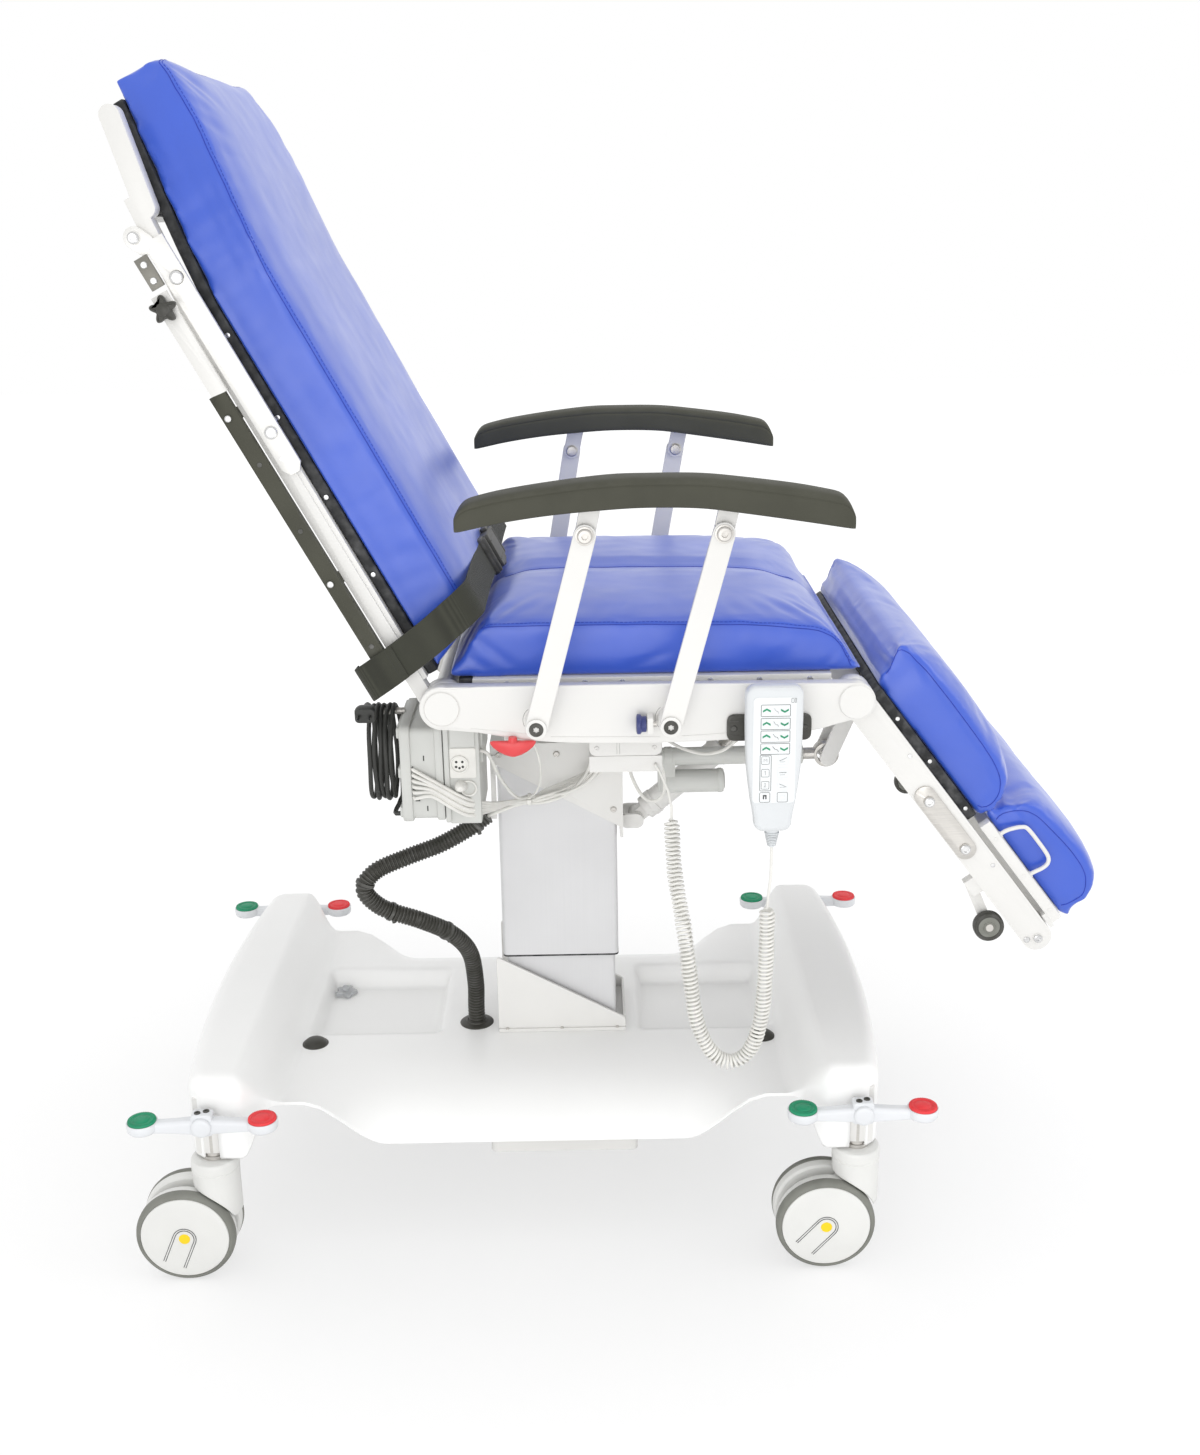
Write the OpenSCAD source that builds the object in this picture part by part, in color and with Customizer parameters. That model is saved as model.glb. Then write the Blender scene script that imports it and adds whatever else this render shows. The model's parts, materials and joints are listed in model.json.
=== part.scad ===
// Powered procedure chair: a wheeled base, a lifting column and an upholstered
// seat with a reclining back, a rising leg section and swinging arms.
// X runs from the head end to the foot end, Z is up, Y = 0 is the middle.

/* [Casters] */
// Diameter of a caster wheel
wheel_d = 150; // [140:1:156]
// Width of one of the two wheels of a caster
wheel_w = 30; // [22:1:32]
// Clear space between the two wheels of a caster
wheel_gap = 18; // [16:1:22]
// Distance from the swivel axis back to the axle
caster_trail = 47; // [42:1:52]
// Half the distance between the swivel axes along the chair
stem_x = 484; // [476:1:492]
// Half the distance between the swivel axes across the chair
stem_y = 331; // [327:1:333]
// Radius of the round hood over the wheels
hood_r = 36; // [32:1:38]

/* [Pedals] */
// Distance from a pedal's pivot to its tread centre
pedal_reach = 88; // [80:1:95]
// Diameter of a pedal tread
tread_d = 42; // [34:1:44]
// Height of the pedal pivots above the floor
pedal_z = 274; // [270:1:278]

/* [Base cover] */
// Height of the flat deck of the cover
deck_z = 252; // [248:1:256]
// Height of the raised ridges at the two ends
ridge_z = 330; // [318:1:340]
// Half length of the cover at its corners
cover_x = 512; // [508:1:520]
// How far the ends bulge out at the middle
cover_bulge = 26; // [10:1:32]
// Half width of the cover at its corners
cover_y = 350; // [349:0.5:351]
// Half width of the cover at the middle
cover_waist = 302; // [295:1:315]
// Depth of the two trays in the deck
tray_depth = 34; // [10:1:38]
// Wall of the moulded cover
cover_wall = 4; // [3:0.5:5]

/* [Column] */
// Centre of the column along the chair
column_x = 39; // [32:1:46]
// Length of the column's section along the chair
column_w = 188; // [180:1:192]
// Width of the column's section across the chair
column_d = 132; // [124:1:136]
// Height of the lower end of the sliding stage
stage_z = 385; // [380:1:395]
// Height of the top of the sliding stage
column_top = 744; // [738:1:748]
// Wall of the two stages
column_wall = 5; // [4:0.5:6]

/* [Seat] */
// Height of the hubs that the back and leg sections turn on
hub_z = 895; // [892:1:898]
// Place of the back hub along the chair
back_hub_x = -108; // [-111:1:-105]
// Place of the leg hub along the chair
leg_hub_x = 459; // [456:1:462]
// Height of the top of the side rails
rail_top = 925; // [923:1:927]
// Outer face of the side rails from the middle
rail_y = 345; // [344:0.5:346]
// Thickness of the side rails across the chair
rail_t = 22; // [18:1:24]
// Thickness of the deck board under each cushion
deck_t = 15; // [12:1:15]
// Half width of the deck boards
deck_y = 306; // [300:1:310]

/* [Cushions] */
// Half width of the cushions
cushion_y = 304; // [298:1:306]
// Height of the seat cushion's side edges
seat_edge_z = 1002; // [994:1:1006]
// Rise of a cushion above its side edges
crown_rise = 15; // [6:1:18]
// Depth of the sewn channel along the middle
channel_depth = 9; // [3:1:12]
// Thickness of the back cushion at its seam
back_thick = 80; // [66:1:84]
// Height of the leg cushion's upper face above the hub line
leg_face = 111; // [100:1:114]

/* [Back] */
// Lean of the back from upright
back_lean = 28; // [27.5:0.5:28.5]
// Length of the back from its hub
back_len = 882; // [850:1:890]
// Forward tilt of the head part
head_tilt = 5; // [3:0.5:6]
// Outer face of the back and leg frames from the middle
frame_y = 320; // [319:0.5:321]
// Width of a back or leg rail across the chair
frame_t = 24; // [20:1:24]

/* [Leg and foot] */
// Drop of the leg section from level
leg_drop = 53; // [52.5:0.5:53.5]
// Length of the leg rails from their hub
leg_len = 484; // [474:1:488]
// Height of a leg rail's section
leg_rail_h = 43; // [38:1:43]
// Thickness of the foot section's channel
channel_t = 17; // [14:1:17]
// Diameter of a transport wheel
transport_d = 46; // [40:1:48]

/* [Arms] */
// Distance between the pivots of an arm post
post_len = 270; // [264:1:276]
// Width of an arm post
post_w = 30; // [24:1:32]
// Lean of the near arm's posts from upright
post_lean = 15; // [14:0.5:16]
// How much less the far arm's posts lean
far_lag = 5; // [0:0.5:6]
// Thickness of an arm post
post_t = 8; // [6:1:9]
// Outer face of the arm pads from the middle
arm_y = 401; // [400:0.5:403]
// Width of an arm pad
pad_w = 60; // [54:1:62]
// Thickness of an arm pad
pad_t = 40; // [34:1:42]

/* [Handset] */
// Width of the handset
handset_w = 78; // [70:1:82]
// Height of the handset
handset_h = 208; // [196:1:214]
// Thickness of the handset
handset_t = 24; // [20:1:25]
// Number of curls in the handset's curly cord
cord_curls = 40; // [30:1:42]

/* [Hidden] */
$fn = 48;

// Clearances: turning pins, sliding stages, soft parts, and parts that pass
pin_play = 0.05;
slide_play = 0.5;
soft_play = 0.4;
pass_play = 3;

wheel_r = wheel_d / 2;
twin_w = 2 * wheel_w + wheel_gap;
hood_top = wheel_d + 45;
stem_r = 14;
swivel_r = 10;
axle_r = 8;
hub_r = 30;
pivot_r = 9;

// The foot cushion's side view in the leg section's own frame
foot_profile = [[276, 47], [463, 47], [469, 66], [468, 92], [452, 111], [424, 121],
    [384, 122], [308, 111], [284, 92], [273, 66]];

// Ends of the chair along X, and the middle between them
foot_reach = max([for (p = foot_profile) leg_hub_x + p.x * cos(leg_drop)
    + (p.y + 0.8 * smooth(90, 112, p.y) * crown_rise) * sin(leg_drop)]);
head_reach = -stem_x - caster_trail - wheel_r;
origin_x = (foot_reach + head_reach) / 2;

// Places a piece drawn about the middle of the base
module at_base() { translate([-origin_x, 0, 0]) children(); }

// Places a piece drawn in the back's frame: Z up the back, X out of its front
module at_back() {
    at_base() translate([back_hub_x, 0, hub_z]) rotate([0, -back_lean, 0]) children();
}

// Places a piece drawn in the leg's frame: X down the leg, Z out of its front
module at_leg() {
    at_base() translate([leg_hub_x, 0, hub_z]) rotate([0, leg_drop, 0]) children();
}

// Draws the children on their own side for -1, and mirrored to the far side for 1
module side(s) {
    if (s < 0) children();
    if (s > 0) mirror([0, 1, 0]) children();
}

module both_sides() { for (s = [-1, 1]) side(s) children(); }

// A side view in X and Z, given its thickness from y0 to y1
module side_plate(y0, y1) {
    translate([0, y1, 0]) rotate([90, 0, 0]) linear_extrude(y1 - y0) children();
}

// A bar along Y between y0 and y1
module pin_y(x, z, r, y0, y1) {
    translate([x, y1, z]) rotate([90, 0, 0]) cylinder(r = r, h = y1 - y0);
}

// A block from its lowest corner to its highest
module block(a, b) { translate(a) cube(b - a); }

// A bar of a given radius between two points
module rod(a, b, r) {
    d = b - a;
    l = norm(d);
    translate(a) rotate([0, acos(d.z / l), atan2(d.y, d.x)]) cylinder(r = r, h = l);
}

// The outline of a flat link with round ends
module link_outline(a, b, r) {
    d = b - a;
    translate(a) circle(r);
    translate(b) circle(r);
    translate(a) rotate(atan2(d.y, d.x)) translate([0, -r + 0.05]) square([norm(d), 2 * r - 0.1]);
}

// A rectangle with round corners, centred
module round_rect(w, h, r) {
    square([w - 2 * r, h], center = true);
    square([w, h - 2 * r], center = true);
    for (x = [-1, 1], y = [-1, 1]) translate([x * (w / 2 - r), y * (h / 2 - r)]) circle(r);
}

function clamp01(t) = min(1, max(0, t));
function smooth(a, b, t) = let (u = clamp01((t - a) / (b - a))) u * u * (3 - 2 * u);
function mix(a, b, t) = a + (b - a) * t;
function flat(lists) = [for (l = lists) each l];
function total(v, i = 0) = i >= len(v) ? v[0] * 0 : v[i] + total(v, i + 1);
function mean(v) = total(v) / len(v);

// A closed solid through equal rings, each turning right-handed about the way on
module loft(rings) {
    n = len(rings[0]);
    last = len(rings) - 1;
    start = len(rings) * n;
    points = concat(flat(rings), [mean(rings[0]), mean(rings[last])]);
    walls = flat([for (i = [0:last - 1], j = [0:n - 1])
        let (a = i * n + j, b = i * n + (j + 1) % n)
        [[a, a + n, b + n], [a, b + n, b]]]);
    caps = flat([for (j = [0:n - 1]) let (k = (j + 1) % n)
        [[start, j, k], [start + 1, last * n + k, last * n + j]]]);
    polyhedron(points = points, faces = concat(walls, caps));
}

// Rings about a route of points, carried along it without twisting
function unit(v) = v / norm(v);
function tangents(p) = [for (i = [0:len(p) - 1])
    unit(p[min(i + 1, len(p) - 1)] - p[max(i - 1, 0)])];
function carried(t, i, n) = i >= len(t) ? n :
    carried(t, i + 1, concat(n, [unit(n[i - 1] - (n[i - 1] * t[i]) * t[i])]));
function normals(t) = carried(t, 1, [unit(cross(t[0], abs(t[0].z) > 0.8 ? [1, 0, 0] : [0, 0, 1]))]);
function tube_rings(p, radii, sides) = let (t = tangents(p), n = normals(t))
    [for (i = [0:len(p) - 1]) let (b = cross(t[i], n[i]))
        [for (k = [0:sides - 1]) let (a = 360 * k / sides)
            p[i] + radii[i] * (cos(a) * n[i] + sin(a) * b)]];
module tube(p, r, sides) { loft(tube_rings(p, [for (q = p) r], sides)); }

// A smooth curve through points placed by hand
function spline_at(a, b, c, d, t) = 0.5 * (2 * b + (c - a) * t
    + (2 * a - 5 * b + 4 * c - d) * t * t + (3 * b - 3 * c + d - a) * t * t * t);
function spline(p, steps) = concat([for (i = [0:len(p) - 2], s = [0:steps - 1])
    spline_at(p[max(i - 1, 0)], p[i], p[i + 1], p[min(i + 2, len(p) - 1)], s / steps)],
    [p[len(p) - 1]]);

// Points at equal steps along a curve
function lengths(p, i = 1, l = [0]) = i >= len(p) ? l :
    lengths(p, i + 1, concat(l, [l[i - 1] + norm(p[i] - p[i - 1])]));
function seek(l, s, i = 1) = i >= len(l) - 1 || l[i] >= s ? i : seek(l, s, i + 1);
function even(p, count) = let (l = lengths(p), all = l[len(l) - 1])
    [for (k = [0:count]) let (s = all * k / count, i = seek(l, s))
        mix(p[i - 1], p[i], clamp01((s - l[i - 1]) / (l[i] - l[i - 1])))];

// The least clear distance between a wound tube's turns
function wound_gap(p, turn, d) = min([for (i = [0:len(p) - turn - 3], j = [i + turn - 2:i + turn + 2])
    norm(p[i] - p[j]) - d]);

// Cushions

// Distances of a cushion's stations from its side, and the pull-in of its panels
edge_steps = [0, 4, 13, 36];
draw_in = 5;

function stations(w) = concat([for (e = edge_steps) w - e], [170, 90, 18, 0, -18, -90, -170],
    [for (i = [3:-1:0]) -(w - edge_steps[i])]);
function crown(y, w) = let (e = clamp01((w - abs(y)) / 40)) crown_rise * sqrt(1 - pow(1 - e, 2));
function channel(y) = channel_depth * (1 - smooth(0, 110, abs(y)));
function drawn(y, w, share) = y - sign(y) * draw_in * share * smooth(w - 40, w, abs(y));

// A cushion from its side view, points [x, z, crown share, pull-in share]
module cushion(points) {
    w = cushion_y;
    loft([for (y = stations(w)) [for (p = points)
        [p.x, drawn(y, w, p[3]), p.y + p[2] * (crown(y, w) - channel(y))]]]);
}

seat_floor = rail_top + soft_play;
seat_points = [[-93, seat_floor, 0, 0.7], [60, seat_floor, 0, 1], [250, seat_floor, 0, 1],
    [462, seat_floor, 0, 0.6], [467, seat_floor + 9, 0, 0.4], [450, 962, 0.3, 0.3],
    [428, seat_edge_z - 18, 0.7, 0], [392, seat_edge_z - 9, 0.9, 0], [300, seat_edge_z - 3, 1, 0],
    [150, seat_edge_z, 1, 0], [20, seat_edge_z, 1, 0], [-34, seat_edge_z - 1, 1, 0],
    [-54, seat_edge_z - 7, 0.7, 0], [-68, 978, 0.2, 0.3], [-84, 950, 0, 0.8]];

module seat_cushion() { color("royalblue") at_base() cushion(seat_points); }

// The back narrows and tips forward towards the head
bend_u = 600;
function head_shift(u) = max(0, u - bend_u) * tan(head_tilt);
function back_half(u, w) = w - 62 * smooth(610, 1010, u) - 3 * smooth(860, 882, u);

// Heights up the back cushion, with the share of thickness left there
back_steps = [[0, 1], [60, 1], [200, 1], [380, 1], [560, 1], [680, 1], [760, 0.97],
    [810, 0.88], [832, 0.72], [838, 0.5]];
back_start = 46;
back_slope = 0.47;

function back_ring(step) = let (u = back_start + step[0] * (back_len - back_start) / 836,
        h = back_half(u, cushion_y), v0 = deck_t + soft_play, s = head_shift(u),
        tip = 1 - smooth(0, 130, step[0]))
    concat([for (i = [len(stations(cushion_y)) - 1:-1:0]) let (y = stations(cushion_y)[i],
            q = y * h / cushion_y,
            t = (back_thick + crown(y, cushion_y) - channel(y)) * step[1])
        [v0 + s + t, q, u + tip * back_slope * t]],
        [[v0 + s + 0.5 * back_thick * step[1], h - draw_in, u + tip * back_slope * 40],
        [v0 + s, h - 2, u], [v0 + s, 0, u], [v0 + s, -h + 2, u],
        [v0 + s + 0.5 * back_thick * step[1], -h + draw_in, u + tip * back_slope * 40]]);

module back_cushion() {
    color("royalblue") at_back() loft([for (step = back_steps) back_ring(step)]);
}

leg_floor = leg_rail_h / 2 + deck_t + soft_play;
leg_points = [[16, leg_floor, 0, 0.7], [140, leg_floor, 0, 1], [258, leg_floor, 0, 0.7],
    [268, 46, 0, 0.5], [270, 68, 0, 0.3], [254, 94, 0.5, 0.2], [228, leg_face - 5, 0.8, 0],
    [190, leg_face, 1, 0], [100, leg_face + 1, 1, 0], [30, leg_face - 2, 0.9, 0],
    [0, leg_face - 7, 0.6, 0], [-13, 97, 0.3, 0], [-17, 86, 0.1, 0.1], [0, 64, 0, 0.4]];

module leg_cushion() {
    color("royalblue") at_leg() cushion(leg_points);
}

foot_points = [for (p = foot_profile) let (top = smooth(90, 112, p.y))
    [p.x, p.y, 0.8 * top, 0.6 * (1 - top)]];

module foot_cushion() { color("royalblue") at_leg() cushion(foot_points); }

// Base cover: a height map over a plan that narrows at the middle

tray_in = 160;
tray_out = 384;
tray_near = -72;
tray_far = 168;
tray_ramp = 16;
arch_z = 268;
cheek_z = hood_top + pass_play;
edge_r = 26;

function cover_half(x) = mix(cover_waist, cover_y, smooth(390, 440, abs(x)));
function cover_len(y) = cover_x + cover_bulge * (1 - pow(y / cover_y, 2));

// Height of the deck's outer edge, and of the cover's lower edge
function edge_z(x) = mix(deck_z - 54, arch_z, smooth(225, 292, abs(x)));
function low_z(x) = mix(edge_z(x) - 6, cheek_z, smooth(404, 436, abs(x)));

function tray(x, y) = tray_depth
    * smooth(tray_in, tray_in + tray_ramp, abs(x)) * (1 - smooth(tray_out - tray_ramp, tray_out, abs(x)))
    * smooth(tray_near, tray_near + tray_ramp, y) * (1 - smooth(tray_far - tray_ramp, tray_far, y));

function cover_top(x, y) = let (w = cover_half(x), flat_y = 115 + 50 * smooth(240, 440, abs(x)),
        t = clamp01((abs(y) - flat_y) / (w - flat_y)), rise = smooth(384, 444, abs(x)),
        deck = deck_z - (deck_z - edge_z(x)) * pow(t, 3) - tray(x, y),
        e = min(w - abs(y), cover_len(y) - abs(x)), f = clamp01(1 - e / edge_r))
    mix(deck, ridge_z - edge_r * (1 - sqrt(1 - f * f)), rise);

// Grid lines from the middle outwards, in real sizes, then shares of what is left
grid_x = [0, 80, tray_in, tray_in + tray_ramp, 230, 262, 300, tray_out - tray_ramp, tray_out,
    402, 414, 426, 438, 450];
rest_x = [0.42, 0.65, 0.81, 0.92, 1];
grid_y = [0, -tray_near - tray_ramp, -tray_near, 115, tray_far - tray_ramp, tray_far];
rest_y = [0.3, 0.55, 0.74, 0.87, 0.95, 1];

function mirror_list(a) = concat([for (i = [len(a) - 1:-1:1]) -a[i]], a);
function cover_xy(i, j) = let (
        a = abs(i) < len(grid_x) ? grid_x[abs(i)] : undef,
        y0 = abs(j) < len(grid_y) ? grid_y[abs(j)] : undef,
        xg = is_undef(a) ? mix(grid_x[len(grid_x) - 1], cover_x, rest_x[abs(i) - len(grid_x)]) : a,
        w = cover_half(xg),
        yy = is_undef(y0) ? mix(tray_far, w, rest_y[abs(j) - len(grid_y)]) : y0,
        xx = is_undef(a) ? mix(grid_x[len(grid_x) - 1], cover_len(yy), rest_x[abs(i) - len(grid_x)]) : a)
    [sign(i) * xx, sign(j) * yy];

nx = len(grid_x) + len(rest_x) - 1;
ny = len(grid_y) + len(rest_y) - 1;
cols = 2 * nx + 1;
rows = 2 * ny + 1;

function outer_point(i, j) = let (p = cover_xy(i, j)) [p.x, p.y, cover_top(p.x, p.y)];
function inner_point(i, j) = let (p = outer_point(i, j))
    [p.x - (abs(i) == nx ? sign(i) * cover_wall : 0), p.y - (abs(j) == ny ? sign(j) * cover_wall : 0),
        p.z - cover_wall];
rim = concat([for (i = [-nx:nx - 1]) [i, -ny]], [for (j = [-ny:ny - 1]) [nx, j]],
    [for (i = [nx:-1:-nx + 1]) [i, ny]], [for (j = [ny:-1:-ny + 1]) [-nx, j]]);
function at_low(p) = [p.x, p.y, low_z(p.x)];
function cell(i, j) = (i + nx) * rows + (j + ny);

module cover_shell() {
    top = [for (i = [-nx:nx], j = [-ny:ny]) outer_point(i, j)];
    under = [for (i = [-nx:nx], j = [-ny:ny]) inner_point(i, j)];
    low = [for (r = rim) at_low(outer_point(r[0], r[1]))];
    low_in = [for (r = rim) at_low(inner_point(r[0], r[1]))];
    m = cols * rows;
    k = 2 * m;
    n = len(rim);
    skin = flat([for (i = [-nx:nx - 1], j = [-ny:ny - 1])
        let (a = cell(i, j), b = cell(i + 1, j), c = cell(i + 1, j + 1), d = cell(i, j + 1))
        [[a, c, b], [a, d, c], [m + a, m + b, m + c], [m + a, m + c, m + d]]]);
    skirt = flat([for (q = [0:n - 1]) let (r = (q + 1) % n,
            a = cell(rim[q][0], rim[q][1]), b = cell(rim[r][0], rim[r][1]))
        [[a, b, k + r], [a, k + r, k + q], [m + a, k + n + r, m + b], [m + a, k + n + q, k + n + r],
        [k + q, k + r, k + n + r], [k + q, k + n + r, k + n + q]]]);
    polyhedron(points = concat(top, under, low, low_in), faces = concat(skin, skirt));
}

pedestal_w = column_w + 12;
pedestal_d = column_d + 14;
grommet = [-105, -38];
grommet_r = 22;
notch = 18;

module base_cover() {
    color("white") at_base() difference() {
        cover_shell();
        translate([column_x, 0, deck_z]) cube([pedestal_w + 2, pedestal_d + 2, 40], center = true);
        translate([grommet.x, grommet.y, deck_z - 20]) cylinder(r = grommet_r - 4, h = 40);
        for (x = [-1, 1]) both_sides() {
            block([x * stem_x - notch, -cover_y - 1, cheek_z - 10],
                [x * stem_x + notch, -cover_y + 14, pedal_z - 22]);
            pin_y(x * stem_x, pedal_z, axle_r + 4, -cover_y - 5, -cover_y + 14);
        }
    }
}

// Chassis

chassis_z = 172;
chassis_h = 38;
socket_in = 290;
socket_out = cover_y - cover_wall - 1;
socket_z = 245;
pedestal_z = deck_z;
undertray = [[-64, -250, 159], [152, 250, chassis_z]];

module base_frame() {
    color("gainsboro") at_base() {
        difference() {
            union() {
                for (y = [-1, 1]) block([-500, y * 110 - 25, chassis_z], [500, y * 110 + 25, chassis_z + chassis_h]);
                for (x = [-1, 1]) {
                    block([x * stem_x - 22, -stem_y - stem_r, 205],
                        [x * stem_x + 22, stem_y + stem_r, socket_z]);
                    both_sides() {
                        block([x * stem_x - 22, -socket_out, socket_z], [x * stem_x + 22, -socket_in, pedal_z + 24]);
                        translate([x * stem_x, -stem_y, hood_top + slide_play])
                            cylinder(r = stem_r, h = socket_z - hood_top);
                        translate([x * stem_x, -stem_y, hood_top - 38])
                            cylinder(r = swivel_r, h = 60);
                    }
                }
                block([column_x - pedestal_w / 2, -135, chassis_z + 28],
                    [column_x + pedestal_w / 2, 135, chassis_z + chassis_h + 8]);
                block([column_x - pedestal_w / 2, -pedestal_d / 2, chassis_z + chassis_h],
                    [column_x + pedestal_w / 2, pedestal_d / 2, pedestal_z]);
            }
            block([column_x - column_w / 2 + 20, -column_d / 2 + 20, chassis_z + chassis_h - 1],
                [column_x + column_w / 2 - 20, column_d / 2 - 20, pedestal_z + 1]);
            for (x = [-1, 1]) both_sides()
                pin_y(x * stem_x, pedal_z, axle_r + pin_play, -socket_out - 1, -socket_in + 1);
        }
        block(undertray[0], undertray[1]);
    }
}

dome_at = [365, -102];

module cover_fittings() {
    color("black") at_base() {
        for (x = [-1, 1]) translate([x * dome_at.x, dome_at.y, deck_z])
            intersection() {
                translate([0, 0, -11]) sphere(r = 20);
                cylinder(r = 20, h = 12);
            }
        translate([grommet.x, grommet.y, deck_z]) rotate_extrude() difference() {
            translate([14.6, -8]) square([grommet_r - 14.6, 12]);
            translate([grommet_r - 4.3, -9]) square([6, 9]);
        }
    }
}

// Column

inner_w = column_w - 2 * column_wall - 2 * slide_play;
inner_d = column_d - 2 * column_wall - 2 * slide_play;
foot_plate = 6;
inner_top = 628;

module box_tube(w, d, wall, z0, z1) {
    difference() {
        block([column_x - w / 2, -d / 2, z0], [column_x + w / 2, d / 2, z1]);
        block([column_x - w / 2 + wall, -d / 2 + wall, z0 - 1],
            [column_x + w / 2 - wall, d / 2 - wall, z1 + 1]);
    }
}

module column_inner() {
    color("silver") at_base() box_tube(inner_w, inner_d, column_wall, pedestal_z + foot_plate, inner_top);
}

module column_outer() {
    color("silver") at_base() {
        box_tube(column_w, column_d, column_wall, stage_z, column_top);
        block([column_x - column_w / 2, -column_d / 2, column_top],
            [column_x + column_w / 2, column_d / 2, column_top + 2]);
    }
}

wedge_gap = 3;
wedge_t = 5;
wedge_x0 = column_x - column_w / 2 - 11;
wedge_x1 = column_x + column_w / 2 + 10;

// Wedge shaped plates on both sides of the lower stage
module column_foot() {
    y1 = -column_d / 2 - wedge_gap;
    color("white") at_base() {
        both_sides() side_plate(y1 - wedge_t, y1)
            polygon([[wedge_x0, pedestal_z + foot_plate], [wedge_x1, pedestal_z + foot_plate],
                [wedge_x1, pedestal_z + 22], [wedge_x0, pedestal_z + 136]]);
        difference() {
            block([wedge_x0, y1 - wedge_t - 3, pedestal_z], [wedge_x1, -y1 + wedge_t + 3, pedestal_z + foot_plate]);
            block([column_x - 60, -30, pedestal_z - 1], [column_x + 60, 30, pedestal_z + foot_plate + 1]);
        }
        block([wedge_x1 - 4, y1, pedestal_z + foot_plate], [wedge_x1, -y1, pedestal_z + 22]);
    }
}

tilt_pin = [62, 770];
tilt_base = [165, 602];
conduit_clip = [-70, -95, 643];
head_lug = [34, 42];
head_top = column_top + 2;

// Wedge shaped plates and cap on top of the upper stage, with the tilt pivot lugs
module column_head() {
    y1 = -column_d / 2;
    color("whitesmoke") at_base() {
        difference() {
            union() {
                both_sides() side_plate(y1 - wedge_t, y1)
                    polygon([[wedge_x0 + 2, head_top + 6], [wedge_x0 + 2, 722], [wedge_x1 - 4, 610],
                        [wedge_x1, 610], [wedge_x1, head_top + 6]]);
                block([wedge_x0 + 2, y1, head_top], [wedge_x1, -y1, head_top + 6]);
                block([wedge_x1 - 5, y1, 590], [wedge_x1, -y1, head_top]);
                both_sides() side_plate(-head_lug[1], -head_lug[0]) {
                    link_outline(tilt_pin, [tilt_pin.x, head_top + 13], 13);
                    translate([tilt_pin.x - 24, head_top]) square([48, 8]);
                }
                both_sides() side_plate(-27, -21) link_outline(tilt_base, [wedge_x1 + 8, tilt_base.y], 12);
                pin_y(tilt_base.x, tilt_base.y, 5, -27, 27);
                block([conduit_clip.x - 8, conduit_clip.y + 14.6, conduit_clip.z - 12],
                    [wedge_x0 + 10, y1 - wedge_t, conduit_clip.z + 2]);
                block([wedge_x0 + 2, y1 - wedge_t - 3, conduit_clip.z - 12], [wedge_x0 + 10, y1 - wedge_t, 734]);
            }
            pin_y(tilt_pin.x, tilt_pin.y, pivot_r + pin_play, -60, 60);
        }
    }
}

// Seat frame

rail_in = rail_y - rail_t;
beam_z = rail_top - deck_t - 34;
beam_top = rail_top - deck_t;
spine_y = [50, 58];
spine_z = beam_z - 26;
channel_x = [92, 196];
channel_z = [776, 800];
channel_y = 280;
rail_outline = [[-108, rail_top], [459, rail_top - 4], [474, 874], [443, 866], [382, 852],
    [244, 842], [107, 842], [11, 847], [-60, 860], [-108, 865]];
arm_x = [22, 203];
arm_z = 877;
post_out = rail_y + 41;
post_in = post_out - post_t;
tilt_top = [345, 752];
leg_base = [176, 743];
back_base = [240, 831];
actuator_y = 120;
plunger_x = 160;
plunger_z = 873;
plunger_y = rail_y + 15;
release_at = [-12, 838];

module arm_pivot(x) {
    pin_y(x, arm_z, 16, -post_in + slide_play, -rail_y);
    pin_y(x, arm_z, pivot_r, -post_out - slide_play, -rail_y);
    pin_y(x, arm_z, 14, -post_out - slide_play - 4, -post_out - slide_play);
}

// One side rail with its hub pins, arm pivots and brackets, drawn on the near side
module seat_rail() {
    difference() {
        side_plate(-rail_y, -rail_in) {
            polygon(rail_outline);
            translate([back_hub_x, hub_z]) circle(hub_r + 0.6);
            translate([leg_hub_x, hub_z]) circle(hub_r - 3.4);
        }
        block([-50, -rail_y + 4, 868], [420, -rail_in + 1, rail_top - 6]);
    }
    for (x = [back_hub_x, leg_hub_x]) {
        pin_y(x, hub_z, pivot_r, -rail_in - 1, -frame_y + frame_t + 1);
        pin_y(x, hub_z, 24, -rail_y - 3, -rail_y);
    }
    for (x = arm_x) arm_pivot(x);
    difference() {
        block([plunger_x + 12, -plunger_y - 11, plunger_z - 11], [plunger_x + 20, -rail_y, plunger_z + 11]);
        translate([0, -plunger_y, plunger_z]) rotate([0, 90, 0]) cylinder(r = 4 + pin_play, h = 400);
    }
}

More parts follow.
